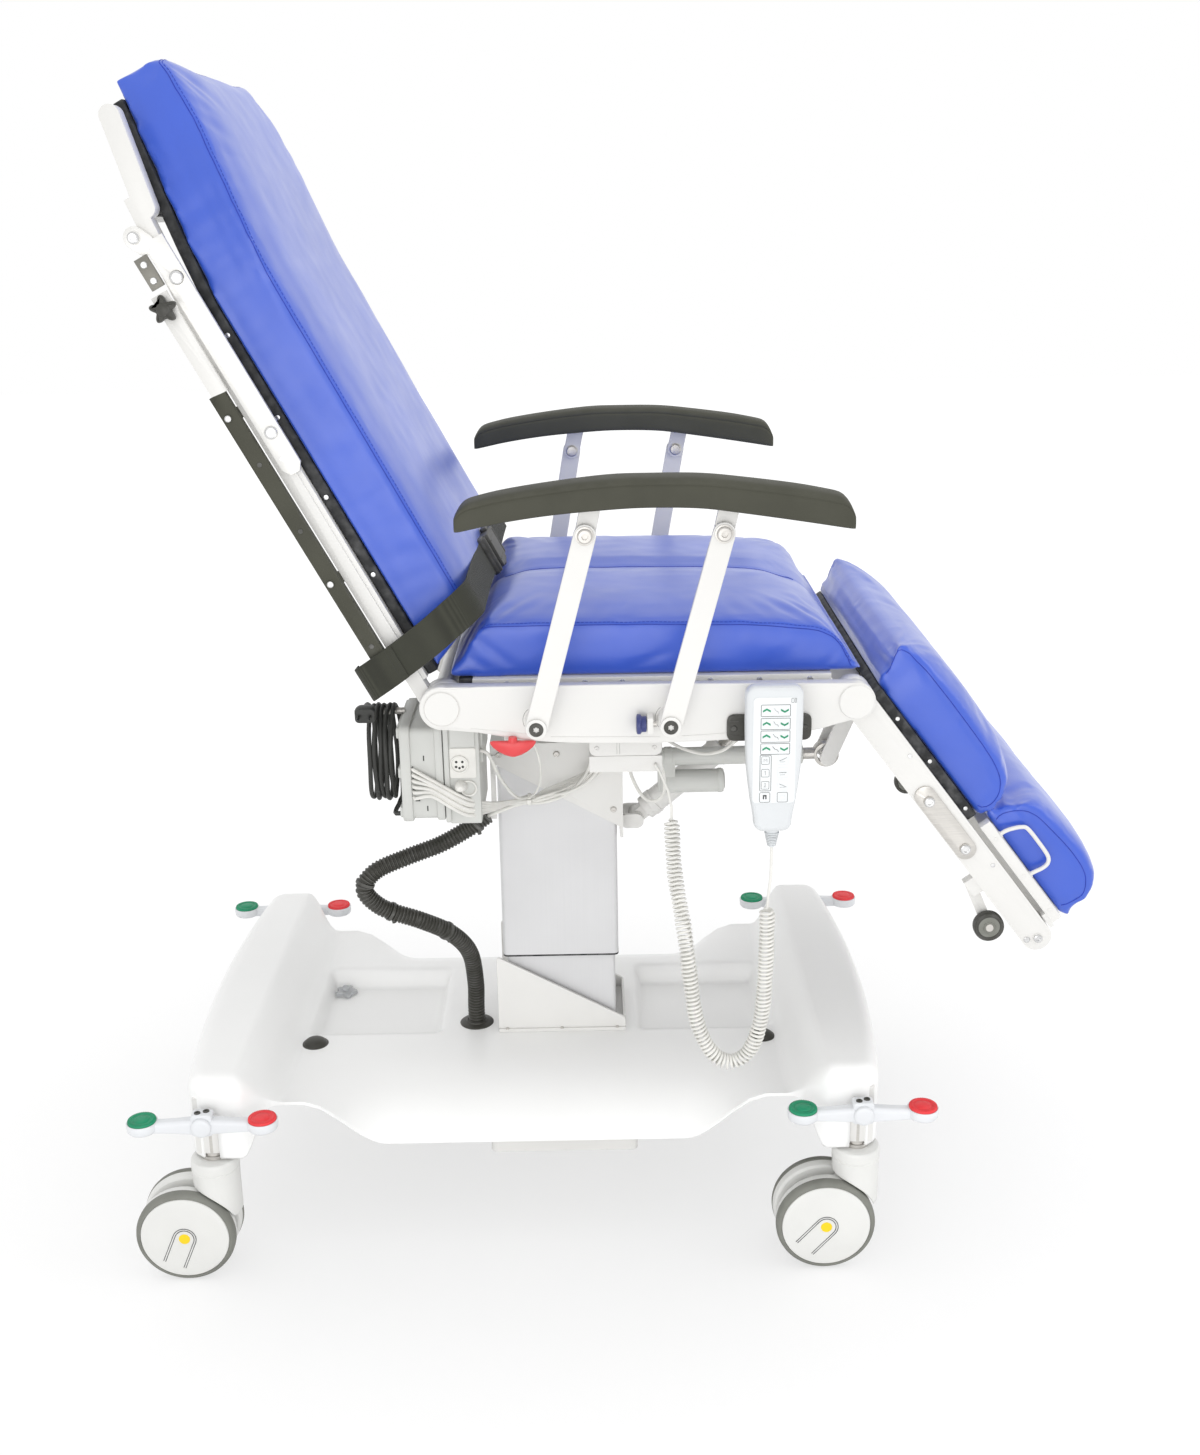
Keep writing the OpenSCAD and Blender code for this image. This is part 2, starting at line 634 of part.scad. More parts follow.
module seat_frame() {
    color("white") at_base() {
        both_sides() seat_rail();
        for (x = [-62, 150, 340]) difference() {
            block([x, -rail_in, beam_z], [x + 40, rail_in, beam_top]);
            block([x + 3, -rail_in + 30, beam_z + 3], [x + 37, rail_in - 30, beam_top - 3]);
        }
        both_sides() {
            block([-62, -spine_y[1], spine_z], [380, -spine_y[0], beam_z]);
            side_plate(-spine_y[1], -spine_y[0]) {
                polygon([[20, spine_z], [104, spine_z], [tilt_pin.x + 13, tilt_pin.y], [tilt_pin.x - 13, tilt_pin.y]]);
                translate(tilt_pin) circle(13);
            }
        }
        pin_y(tilt_pin.x, tilt_pin.y, pivot_r, -spine_y[0], spine_y[0]);
        lugs(tilt_top, 0, beam_z - 12, beam_z);
        block([channel_x[0], -channel_y, channel_z[0]], [channel_x[1], channel_y, channel_z[1]]);
        both_sides() block([150, -200, channel_z[1]], [190, -190, beam_z]);
        lugs(leg_base, -actuator_y, channel_z[0] - 4, channel_z[0]);
        lugs(back_base, actuator_y, beam_z - 12, beam_z);
        block([150, actuator_y - 27, beam_z - 12], [back_base.x + 12, actuator_y + 27, beam_z]);
        difference() {
            block([release_at.x - 14, -316, release_at.y - 10], [release_at.x + 14, -310, beam_z]);
            pin_y(release_at.x, release_at.y, 4 + pin_play, -320, -300);
        }
        block([release_at.x - 20, -rail_in + 1, beam_z - 6], [release_at.x + 14, -300, beam_z]);
    }
}

// Two lugs that hold an actuator's end, hanging from z1, with the pin through them
module lugs(p, y, z0, z1) {
    for (s = [-1, 1]) side_plate(y + s * 24 - 3, y + s * 24 + 3) {
        link_outline(p, [p.x, z0], 11);
        translate([p.x - 11, z0]) square([22, z1 - z0]);
    }
    pin_y(p.x, p.y, 5, y - 27, y + 27);
}

module seat_deck() {
    color("black") at_base() block([-68, -deck_y, beam_top], [430, deck_y, rail_top]);
}

// Control box, mains cable and the cables between the box and the drives

box_a = [-116, -258, 692];
box_b = [-66, -112, 846];
box_lid = [-180, -262, 698];

module control_box() {
    color("silver") at_base() {
        block(box_a, box_b);
        block(box_lid, [box_a.x, -108, 842]);
        block([box_b.x, -240, 780], [-62, -130, beam_top]);
        for (z = [712, 772, 832]) block([-184, -262, z - 8], [-176, -108, z + 8]);
        translate([-184, hank_in.y, hank_in.z]) rotate([0, 90, 0]) cylinder(r = 6, h = 20);
        translate([-240, -185, 844.3]) rotate([0, 90, 0]) cylinder(r = 5, h = 62);
        translate([-243, -185, 844.3]) rotate([0, 90, 0]) cylinder(r = 9, h = 3);
        translate([-97, -257, 778]) rotate([90, 0, 0]) cylinder(r = 24, h = 6);
        block([channel_x[0], -channel_y, channel_z[1]], [channel_x[1], -206, 850]);
    }
}

// The mains cable is wound in loops on the hook behind the box
cable_d = 7;
hank_turns = 5.5;
hank_steps = 24;
hank_pitch = 7.9;
hank_x = -190;
hank_in = [-184.4, -248, 707];
hank_coil = [for (k = [0:hank_turns * hank_steps]) let (a = -90 + 360 * k / hank_steps)
    [hank_x - hank_pitch * k / hank_steps, -185 + 50 * cos(a), 782 + 71 * sin(a)]];
hank_path = concat([hank_in, hank_in - [7, 0, 0], [-193, -243, 707], [-193, -232, 707.5],
    [-191, -215, 708.5], [-190.3, -200, 710]], hank_coil,
    [[-233, -200, 856], [-230, -214, 862], [-226, -224, 865], [-224, -231, 865], [-224, -239, 865]]);

module mains_hank() {
    echo(str("Least gap between the turns of the mains cable: ",
        wound_gap(hank_coil, hank_steps, cable_d), " mm"));
    color("dimgray") at_base() tube(hank_path, cable_d / 2, 6);
}

module mains_plug() {
    color("dimgray") at_base() translate([-224, -239 - soft_play, 865]) rotate([90, 0, 0]) {
        cylinder(r1 = 5, r2 = 6, h = 10);
        translate([0, 0, 10]) intersection() {
            cylinder(r = 15, h = 28);
            translate([-15, -11, 0]) cube([30, 22, 28]);
        }
        for (x = [-8, 8]) translate([x, 0, 30]) cylinder(r = 2, h = 20);
    }
}

// Grey cables that sag from the box and rise to the drives
function bundle_path(k) = [[box_b.x + soft_play, -244 + 9 * k, 800 - 22 * k], [-52, -242 + 8 * k, 796 - 22 * k],
    [-30, -200 + 4 * k, 712 + 6 * k], [-13, -128 + 8 * k, 672 + 5 * k], [20, -100 + 8 * k, 676 + 4 * k],
    [66, -96 + 7 * k, 688 + 6 * k], [104, -97 + 7 * k, 708 + 6 * k], [126 + 8 * k, -95 + 7 * k, 738 + 3 * k],
    [131 + 8 * k, -94 + 7 * k, channel_z[0] - soft_play]];

module cable_bundle() {
    color("lightgray") at_base() {
        for (k = [0:1]) tube(even(spline(bundle_path(k), 5), 30), 3, 8);
    }
}

// Black corrugated conduit between the cover and the box
conduit_route = [[-70, -95, 643], [-83, -96, 634], [-102, -98, 621], [-144, -106, 600], [-197, -118, 584],
    [-245, -130, 566], [-263, -136, 538], [-237, -130, 504], [-180, -114, 474], [-136, -91, 440],
    [-110, -62, 392], [-104, -43, 330], [-105, -38, 285], [-105, -38, deck_z + 6], [-105, -38, deck_z - 6]];
conduit_ribs = 30;
conduit_line = even(spline(conduit_route, 6), 2 * conduit_ribs);

module conduit() {
    color("black") at_base() loft(tube_rings(conduit_line,
        [for (i = [0:2 * conduit_ribs]) i % 2 == 0 ? 12.4 : 14.2], 8));
}

// Handset, its holder and its curly cord

handset_x = 341.5;
handset_z = 725;
handset_back = post_out - 13;

module handset() {
    y0 = -handset_back - handset_t;
    color("whitesmoke") at_base() {
        side_plate(y0, -handset_back) {
            handset_outline();
        }
        difference() {
            side_plate(y0 - 1.5, y0) translate([handset_x, handset_z + 118]) round_rect(handset_w - 18, 150, 6);
            side_plate(y0 - 3, y0 - 0.8) translate([handset_x, handset_z + 118]) round_rect(handset_w - 24, 144, 4);
        }
        translate([handset_x, -handset_back - handset_t / 2, handset_z - 20]) cylinder(r1 = 5, r2 = 8, h = 21);
        block([handset_x - 24, -handset_back, 884.3], [handset_x + 24, -361, 890]);
        block([handset_x - 24, -364.5, 876], [handset_x + 24, -361, 885]);
    }
}

// The handset's face, narrower at its lower end
module handset_outline() {
    w = handset_w / 2;
    z1 = handset_z + handset_h;
    polygon([[handset_x - w + 10, handset_z + 4], [handset_x + w - 10, handset_z + 4],
        [handset_x + w - 2, handset_z + 22], [handset_x + w, handset_z + 60], [handset_x + w, z1 - 14],
        [handset_x - w, z1 - 14], [handset_x - w, handset_z + 60], [handset_x - w + 2, handset_z + 22]]);
    translate([handset_x, z1 - 14]) round_rect(handset_w, 28, 13.5);
    translate([handset_x, handset_z + 16]) round_rect(handset_w - 6, 32, 15);
}

module handset_holder() {
    color("black") at_base() {
        side_plate(-rail_y - 8, -rail_y) translate([handset_x - 2, 862]) round_rect(116, 38, 12);
        block([handset_x - 34, -367, 866], [handset_x + 34, -rail_y - 8, 870]);
        block([handset_x - 34, -369, 866], [handset_x + 34, -366, 884]);
    }
}

cord_d = 4;
curl_r = 7.5;
curl_steps = 8;
cord_route = [[208, -302, 712], [211, -330, 640], [222, -362, 570], [230, -376, 500], [240, -383, 430],
    [262, -385, 382], [290, -386, 368], [316, -387, 388], [331, -388, 440], [336, -388, 520], [337, -388, 610]];
cord_line = even(spline(cord_route, 8), cord_curls * curl_steps);
cord_coil = let (t = tangents(cord_line), n = normals(t))
    [for (i = [0:len(cord_line) - 1]) let (a = 360 * i / curl_steps, b = cross(t[i], n[i]),
        grow = min(1, i / curl_steps, (len(cord_line) - 1 - i) / curl_steps))
        cord_line[i] + curl_r * grow * (cos(a) * n[i] + sin(a) * b)];
cord_path = concat([[186, -channel_y - 0.4, 788], [186, -channel_y - 6, 788], [192, -291, 779],
    [203, -299, 754], [208, -302, 730]], cord_coil,
    [[338, -388, 628], [341, -387, 656], [handset_x, -385.6, 684], [handset_x, -385.2, 697], [handset_x, -385, 703.5]]);

module handset_cord() {
    echo(str("Least gap between the turns of the handset cord: ",
        wound_gap(cord_coil, curl_steps, cord_d), " mm"));
    color("silver") at_base() {
        tube(cord_path, cord_d / 2, 6);
    }
}

// Red pull handle under the near rail
module release_handle() {
    color("red") at_base() {
        side_plate(-rail_y - 11, -rail_y - 1) link_outline(release_at - [21, 0], release_at + [21, 0], 11);
        pin_y(release_at.x, release_at.y, 4, -rail_y - 1, -280);
        pin_y(release_at.x, release_at.y, 8, -284, -280);
    }
}

// Drives, drawn along a line from the rear pin to the front pin

tilt_len = norm(tilt_top - tilt_base);
tilt_dir = atan2(tilt_top.y - tilt_base.y, tilt_top.x - tilt_base.x);
leg_lever = [116.2, -95.1];
leg_pin = [leg_hub_x + leg_lever[0] * cos(leg_drop) + leg_lever[1] * sin(leg_drop),
    hub_z - leg_lever[0] * sin(leg_drop) + leg_lever[1] * cos(leg_drop)];
leg_dist = norm(leg_pin - leg_base);
leg_dir = atan2(leg_pin.y - leg_base.y, leg_pin.x - leg_base.x);
back_lever_r = 70;
back_swing = 62;
back_lever = [-back_lever_r * sin(back_swing / 2 + back_lean), -back_lever_r * cos(back_swing / 2 + back_lean)];
back_pin = [back_hub_x - back_lever_r * sin(back_swing / 2), hub_z - back_lever_r * cos(back_swing / 2)];
back_dist = norm(back_pin - back_base);
back_dir = atan2(back_pin.y - back_base.y, back_pin.x - back_base.x);
eye_play = 9;

// Places a drive drawn along X with its rear pin at the origin
module along(p, a, y) { at_base() translate([p.x, y, p.y]) rotate([0, -a, 0]) children(); }

module drive_body(r, l, rod_r, motor) {
    difference() {
        union() {
            rotate([90, 0, 0]) translate([0, 0, -18]) cylinder(r = 12, h = 36);
            block([0, -11, -11], [24, 11, 11]);
            translate([20, 0, 0]) rotate([0, 90, 0]) cylinder(r = r, h = l - 20);
            if (motor > 0) {
                translate([24, 0, -motor - 18]) rotate([0, 90, 0]) cylinder(r = 18, h = 96);
                block([20, -14, -motor - 30], [46, 14, 0]);
            }
        }
        rotate([90, 0, 0]) translate([0, 0, -20]) cylinder(r = 5 + pin_play, h = 40);
        translate([30, 0, 0]) rotate([0, 90, 0]) cylinder(r = rod_r + slide_play, h = l);
    }
}

module drive_rod(a, b, r, eye, play) {
    difference() {
        union() {
            translate([a, 0, 0]) rotate([0, 90, 0]) cylinder(r = r, h = b - a - eye + 2);
            rotate([90, 0, 0]) translate([b, 0, -10]) cylinder(r = eye, h = 20);
        }
        rotate([90, 0, 0]) translate([b, 0, -12]) cylinder(r = 5 + play, h = 24);
    }
}

module leg_actuator() {
    color("silver") along(leg_base, leg_dir, -actuator_y) drive_body(14, leg_dist - 36, 9, 22);
}
module leg_rod() {
    color("silver") along(leg_base, leg_dir, -actuator_y) drive_rod(leg_dist - 180, leg_dist, 9, 19, eye_play);
}
module tilt_actuator() {
    color("white") along(tilt_base, tilt_dir, 0) drive_body(20, tilt_len - 52, 10, 0);
}
module tilt_rod() {
    color("silver") along(tilt_base, tilt_dir, 0) drive_rod(tilt_len - 150, tilt_len, 10, 14, 4);
}
module back_actuator() {
    color("silver") along(back_base, back_dir, actuator_y) drive_body(14, back_dist - 96, 9, 0);
}
module back_rod() {
    color("silver") along(back_base, back_dir, actuator_y) drive_rod(back_dist - 200, back_dist, 9, 19, eye_play);
}

// Two lever plates about a drive's front pin, from a shaft, with the pin
module lever(shaft, p, y) {
    for (s = [-1, 1]) side_plate(y + s * 24 - 3, y + s * 24 + 3) link_outline(shaft, p, 12);
    pin_y(p.x, p.y, 5, y - 27, y + 27);
}

// Back section

rail_back = -28;
rail_front = -7;
head_u = 865;
strut_y = [frame_y + 2, frame_y + 15];

// Side views here have X out of the back's front and Y up the back
module back_rail() {
    difference() {
        union() {
            side_plate(-frame_y, -frame_y + frame_t) {
                polygon([[rail_back, 0], [rail_front, 0], [rail_front, bend_u],
                    [rail_front + head_shift(760), 760], [rail_back + head_shift(760), 760], [rail_back, bend_u]]);
                circle(hub_r);
                link_outline([4, 740], [26.5, 852], 13);
            }
            block([rail_front - 0.5, -frame_y + 4, 42], [-soft_play, -frame_y + frame_t, 590]);
            block([-78.7, -frame_y + 6, 66], [rail_back + 1, -frame_y + frame_t - 4, 84]);
        }
        pin_y(0, 0, pivot_r + pin_play, -frame_y - 1, -frame_y + frame_t + 6);
    }
}

module back_frame() {
    in = frame_y - frame_t;
    color("white") at_back() {
        both_sides() back_rail();
        for (u = [150, 420, 590]) block([rail_back, -in, u], [rail_front, in, u + 40]);
        block([rail_back + 14, -in, 730], [rail_front + 8, in, 756]);
        difference() {
            pin_y(0, 0, 18, -in, in);
            both_sides() pin_y(0, 0, pivot_r + pin_play, -in - 1, -in + 8);
        }
        lever([0, 0], back_lever, actuator_y);
    }
}

// A board bent forward at the head, narrowing towards the top
module back_deck() {
    w = deck_y - 2;
    top = 872;
    steps = [bend_u, 680, 760, 820, top];
    color("black") at_back() intersection() {
        side_plate(-w - 1, w + 1) polygon([[0, 42], [deck_t, 42], [deck_t, bend_u],
            [deck_t + head_shift(top), top], [head_shift(top), top], [0, bend_u]]);
        translate([-1, 0, 0]) rotate([90, 0, 90]) linear_extrude(60) polygon(concat([[-w, 40], [w, 40]],
            [for (u = steps) [back_half(u, w), u]], [[back_half(top, w), top + 2], [-back_half(top, w), top + 2]],
            [for (i = [len(steps) - 1:-1:0]) [-back_half(steps[i], w), steps[i]]]));
    }
}

module back_plates() {
    color("silver") at_back() both_sides() {
        side_plate(-frame_y - 6, -frame_y) {
            polygon([[-19, 376], [-13, 368], [0, 368], [7, 378], [7, 704], [-21, 704], [-21, 380]]);
            link_outline([-20, 704], [-26, 716], 14);
        }
        for (p = [[-5.8, 428], [-5.6, 650]]) pin_y(p.x, p.y, 9, -frame_y - 9, -frame_y - 6);
        pin_y(-26, 716, 8, -frame_y - 11, -frame_y - 6);
        side_plate(-frame_y - 12, -frame_y - 6) translate([-32, 671]) square([18, 42], center = true);
    }
}

knob_at = [-38, 624];

module back_bars() {
    color("dimgray") at_back() both_sides() {
        side_plate(-strut_y[1], -strut_y[0])
            polygon([[-51, 60], [rail_back - 1, 60], [rail_back - 1, 503], [-33, 503], [-33, 520],
                [-43, 520], [-43, 503], [-51, 503]]);
        difference() {
            side_plate(-strut_y[1], -frame_y - 7) translate([-36, 572]) square([22, 142], center = true);
            pin_y(knob_at.x, knob_at.y, 4 + pin_play, -strut_y[1] - 1, -frame_y);
        }
        for (u = [220, 470]) {
            block([-47, -strut_y[0], u - 8], [rail_back - 0.3, -frame_y + 10, u + 8]);
            pin_y(-43, u, 5, -strut_y[1] - 2, -strut_y[1]);
        }
        block([-40, -frame_y - 8, 520], [-30, -frame_y + 8, 534]);
    }
}

module clamp_knob() {
    difference() {
        union() {
            pin_y(knob_at.x, knob_at.y, 12, -strut_y[1] - 13, -strut_y[1] - 1);
            for (a = [0:72:288]) pin_y(knob_at.x + 11.5 * cos(a), knob_at.y + 11.5 * sin(a), 6.5,
                -strut_y[1] - 13, -strut_y[1] - 1);
        }
        pin_y(knob_at.x, knob_at.y, 5, -strut_y[1] - 14, -strut_y[1] - 11);
    }
    pin_y(knob_at.x, knob_at.y, 4, -strut_y[1] - 6, -frame_y - 5);
}

// Belt round the back, with its buckle in the middle of the seat
belt_w = 51;
belt_t = 2;
belt_v = deck_t + soft_play + back_thick + crown_rise + 3;
belt_route = [[-80, -298, 74], [-80, -316, 75], [-77, -331, 77], [-66, -337, 79], [-30, -337, 83],
    [30, -337, 92], [78, -336, 102], [100, -331, 107], [belt_v - 1, -314, 109], [belt_v, -280, 110],
    [belt_v, -200, 110], [belt_v, -120, 109], [belt_v + 1, -62, 108]];

module seat_belt() {
    p = even(spline(belt_route, 4), 34);
    t = tangents(p);
    color("black") at_back() {
        both_sides() loft([for (i = [0:len(p) - 1]) let (n = unit(cross([0, 0, 1], t[i])))
            [p[i] - belt_t / 2 * n - [0, 0, belt_w / 2], p[i] + belt_t / 2 * n - [0, 0, belt_w / 2],
                p[i] + belt_t / 2 * n + [0, 0, belt_w / 2], p[i] - belt_t / 2 * n + [0, 0, belt_w / 2]]]);
        block([belt_v - 1, -64, 78], [belt_v + 16, 64, 138]);
    }
}

// Leg section

rail_half = leg_rail_h / 2;
transport_u = leg_len - 74;

module leg_frame() {
    in = frame_y - frame_t;
    color("white") at_leg() {
        both_sides() difference() {
            union() {
                side_plate(-frame_y, -in) {
                    link_outline([0, 0], [leg_len - rail_half, 0], rail_half);
                    circle(hub_r - 4);
                }
                side_plate(-frame_y - 4, -frame_y) link_outline([182, -5], [284, -5], 15);
                for (u = [191, 282]) pin_y(u, -5, 8, -frame_y - 7, -frame_y - 4);
                pin_y(leg_len - 19, 0, 7, -frame_y - 3, -frame_y);
                block([transport_u - 80, -frame_y + 4, -37], [transport_u - 54, -frame_y + 20, -rail_half + 1]);
                difference() {
                    side_plate(-300, -297) link_outline([transport_u - 68, -30], [transport_u, -transport_z], 8);
                    pin_y(transport_u, -transport_z, 4 + pin_play, -304, -290);
                }
                guide(210);
                guide(250);
            }
            pin_y(0, 0, pivot_r + pin_play, -frame_y - 8, -in + 1);
        }
        block([46, -in, -rail_half], [86, in, rail_half - 4]);
        block([206, -in, -rail_half], [228, in, slider[0][0] - 2]);
        lever([66, -10], leg_lever, -actuator_y);
    }
}

// Sleeves in which the foot section's bars slide
slider = [[-12, 12], [276, 288]];
module guide(u) {
    difference() {
        block([u, -frame_y + frame_t - 0.5, -20], [u + 16, -268, 20]);
        block([u - 1, -slider[1][1] - slide_play, slider[0][0] - slide_play],
            [u + 17, -slider[1][0] + slide_play, slider[0][1] + slide_play]);
    }
}

transport_z = rail_half + transport_d / 2 + 2;

module leg_deck() {
    color("black") at_leg() block([20, -deck_y + 2, rail_half], [258, deck_y - 2, rail_half + deck_t]);
}

foot_top = 46.6;
foot_low = foot_top - channel_t;

module foot_frame() {
    color("white") at_leg() {
        block([284, -deck_y + 4, foot_low], [462, deck_y - 4, foot_top]);
        both_sides() {
            block([272, -frame_y + 2, foot_low], [460, -deck_y + 4, foot_top - 1]);
            block([441, -frame_y + 2, rail_half + 2], [465, -frame_y + frame_t - 2, foot_low]);
            block([110, -slider[1][1], slider[0][0]], [470, -slider[1][0], slider[0][1]]);
            block([452, -slider[1][1], slider[0][0]], [470, -slider[1][0], foot_top - 1]);
        }
        block([454, -slider[1][0], -10], [468, slider[1][0], foot_low + 1]);
    }
}

handle_route = [[301, foot_top - 0.7], [301, 54], [304, 64], [310, 76], [318, 82], [344, 83], [370, 82],
    [380, 76], [382, 66], [380, 54], [379, foot_top - 0.7]];

// A bent rod standing on each edge of the foot section's channel
module foot_handles() {
    path = spline([for (p = handle_route) [p.x, -311, p.y]], 3);
    color("whitesmoke") at_leg() both_sides() tube(path, 3, 10);
}

module transport_wheels() {
    color("dimgray") at_leg() {
        both_sides() {
            pin_y(transport_u, -transport_z, transport_d / 2, -frame_y + 2, -302);
            pin_y(transport_u, -transport_z, 4, -303, -294);
        }
    }
}

// Pedals: a rocking bar with a round tread at each end

module pedal(x) {
    y0 = -(cover_y + 38);
    y1 = -(cover_y + 18);
    color("gainsboro") at_base() translate([x, 0, 0]) {
        for (s = [-1, 1]) {
            side_plate(y0, y1) link_outline([0, pedal_z - 4], [s * pedal_reach, pedal_z - 1], 7);
            translate([s * pedal_reach, (y0 + y1) / 2, pedal_z + 4]) cylinder(r = tread_d / 2 + 1, h = 6);
            translate([s * pedal_reach, (y0 + y1) / 2, pedal_z + 10]) cylinder(r = tread_d / 2, h = 6);
        }
        pin_y(0, pedal_z, 16, y0, y1);
        pin_y(0, pedal_z, axle_r, y1 - 1, -socket_in - 2);
    }
}

// Casters

web_t = wheel_gap - 2;

module caster_hood(x, y) {
    r = wheel_r + 2.5;
    color("white") at_base() translate([x, y, 0]) difference() {
        union() {
            difference() {
                union() {
                    translate([0, 0, 100]) cylinder(r = hood_r - 1, h = hood_top - 120);
                    translate([0, 0, hood_top - 21]) cylinder(r = hood_r, h = 21);
                }
                pin_y(-caster_trail, wheel_r, r, -60, 60);
            }
            side_plate(-web_t / 2, web_t / 2) link_outline([-caster_trail, wheel_r], [-12, 134], 16);
        }
        translate([0, 0, hood_top - 39]) cylinder(r = swivel_r + pin_play, h = 60);
        pin_y(-caster_trail, wheel_r, axle_r + pin_play, -20, 20);
    }
}

module caster_wheels(x, y) {
    color("whitesmoke") at_base() translate([x - caster_trail, y, wheel_r]) {
        for (s = [-1, 1]) rotate([s * 90, 0, 0]) translate([0, 0, wheel_gap / 2]) rotate_extrude() polygon([[0, 0],
            [wheel_r - 4, 0], [wheel_r, 4], [wheel_r, wheel_w - 4], [wheel_r - 4, wheel_w],
            [wheel_r - 10, wheel_w], [wheel_r - 10, wheel_w - 3], [0, wheel_w - 3]]);
        rotate([90, 0, 0]) translate([0, 0, -wheel_gap / 2 - 1]) cylinder(r = axle_r, h = wheel_gap + 2);
    }
}

// Arms: two posts and a pad for each side, drawn on the near side

function lean_of(s) = s < 0 ? post_lean : post_lean - far_lag;
function bolt(x, s) = [x + post_len * sin(lean_of(s)), arm_z + post_len * cos(lean_of(s))];

module arm_post(x, s) {
    color("whitesmoke") at_base() side(s) difference() {
        side_plate(-post_out, -post_in) link_outline([x, arm_z], bolt(x, s), post_w / 2);
        pin_y(x, arm_z, pivot_r + pin_play, -post_out - 1, -post_in + 1);
        pin_y(bolt(x, s).x, bolt(x, s).y, 6 + pin_play, -post_out - 1, -post_in + 1);
    }
}

// The pad's side view, from the middle between the two bolts
pad_low = [[-254, 6], [-200, 17], [-135, 26], [-60, 32], [-8, 34], [60, 32], [119, 24], [190, 13], [256, 2]];
pad_rims = [[260, 28], [254, 40], [239, 47], [190, 57], [118, 67], [60, 73], [-8, 74], [-60, 73], [-134, 65],
    [-200, 55], [-242, 45], [-257, 41], [-260, 33]];
pad_high = [for (p = pad_rims) p + [0, pad_t - 40]];

module arm_pad(s) {
    mid = (bolt(arm_x[0], s) + bolt(arm_x[1], s)) / 2;
    color("dimgray") at_base() side(s) {
        difference() {
            side_plate(-arm_y, -arm_y + pad_w) translate(mid + [0, 3]) polygon(concat(pad_low, pad_high));
            block([mid.x - 112, -post_out - 2, mid.y - 20], [mid.x + 112, -post_in + 1, mid.y + 24]);
        }
        for (x = arm_x) {
            b = bolt(x, s);
            side_plate(-post_in + 1, -post_in + 8) link_outline(b, [b.x, mid.y + 32], 12);
            pin_y(b.x, b.y, 6, -post_out - 1, -post_in + 2);
            pin_y(b.x, b.y, 11, -post_out - 4, -post_out - 1);
        }
    }
}

module arm_plunger() {
    x0 = plunger_x - 3;
    color("navy") at_base() translate([x0, -plunger_y, plunger_z]) rotate([0, 90, 0]) {
        cylinder(r = 13.5, h = 7);
        translate([0, 0, 6]) cylinder(r = 8, h = 6);
        translate([0, 0, 11]) cylinder(r = 4, h = 17);
    }
}

base_cover();
base_frame();
cover_fittings();
column_inner();
column_foot();
column_outer();
column_head();
conduit();
seat_frame();
seat_deck();
seat_cushion();
control_box();
mains_hank();
mains_plug();
cable_bundle();
handset();
handset_holder();
handset_cord();
release_handle();
leg_actuator();
leg_rod();
tilt_actuator();
tilt_rod();
back_actuator();
back_rod();
back_frame();
back_deck();
back_cushion();
back_plates();
back_bars();
color("black") at_back() side(-1) clamp_knob();  // clamp_knob_near
color("black") at_back() side(1) clamp_knob();  // clamp_knob_far
seat_belt();
leg_frame();
leg_deck();
leg_cushion();
foot_frame();
foot_cushion();
foot_handles();
transport_wheels();
side(-1) pedal(-stem_x);  // pedal_head_near
side(1) pedal(-stem_x);  // pedal_head_far
side(-1) pedal(stem_x);  // pedal_foot_near
side(1) pedal(stem_x);  // pedal_foot_far
caster_hood(-stem_x, -stem_y);  // caster_hood_head_near
caster_hood(-stem_x, stem_y);  // caster_hood_head_far
caster_hood(stem_x, -stem_y);  // caster_hood_foot_near
caster_hood(stem_x, stem_y);  // caster_hood_foot_far
caster_wheels(-stem_x, -stem_y);  // caster_wheels_head_near
caster_wheels(-stem_x, stem_y);  // caster_wheels_head_far
caster_wheels(stem_x, -stem_y);  // caster_wheels_foot_near
caster_wheels(stem_x, stem_y);  // caster_wheels_foot_far
arm_post(arm_x[0], -1);  // arm_post_rear_near
arm_post(arm_x[0], 1);  // arm_post_rear_far
arm_post(arm_x[1], -1);  // arm_post_front_near
arm_post(arm_x[1], 1);  // arm_post_front_far
arm_pad(-1);  // arm_pad_near
arm_pad(1);  // arm_pad_far
side(-1) arm_plunger();  // arm_plunger_near
side(1) arm_plunger();  // arm_plunger_far
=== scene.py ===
"""Looks for the procedure chair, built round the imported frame. Shapes are drawn in millimetres."""
import json
from math import atan2, cos, degrees, hypot, pi, radians, sin, sqrt, tan

import bmesh
import bpy
from mathutils import Matrix, Vector, noise
from mathutils.bvhtree import BVHTree

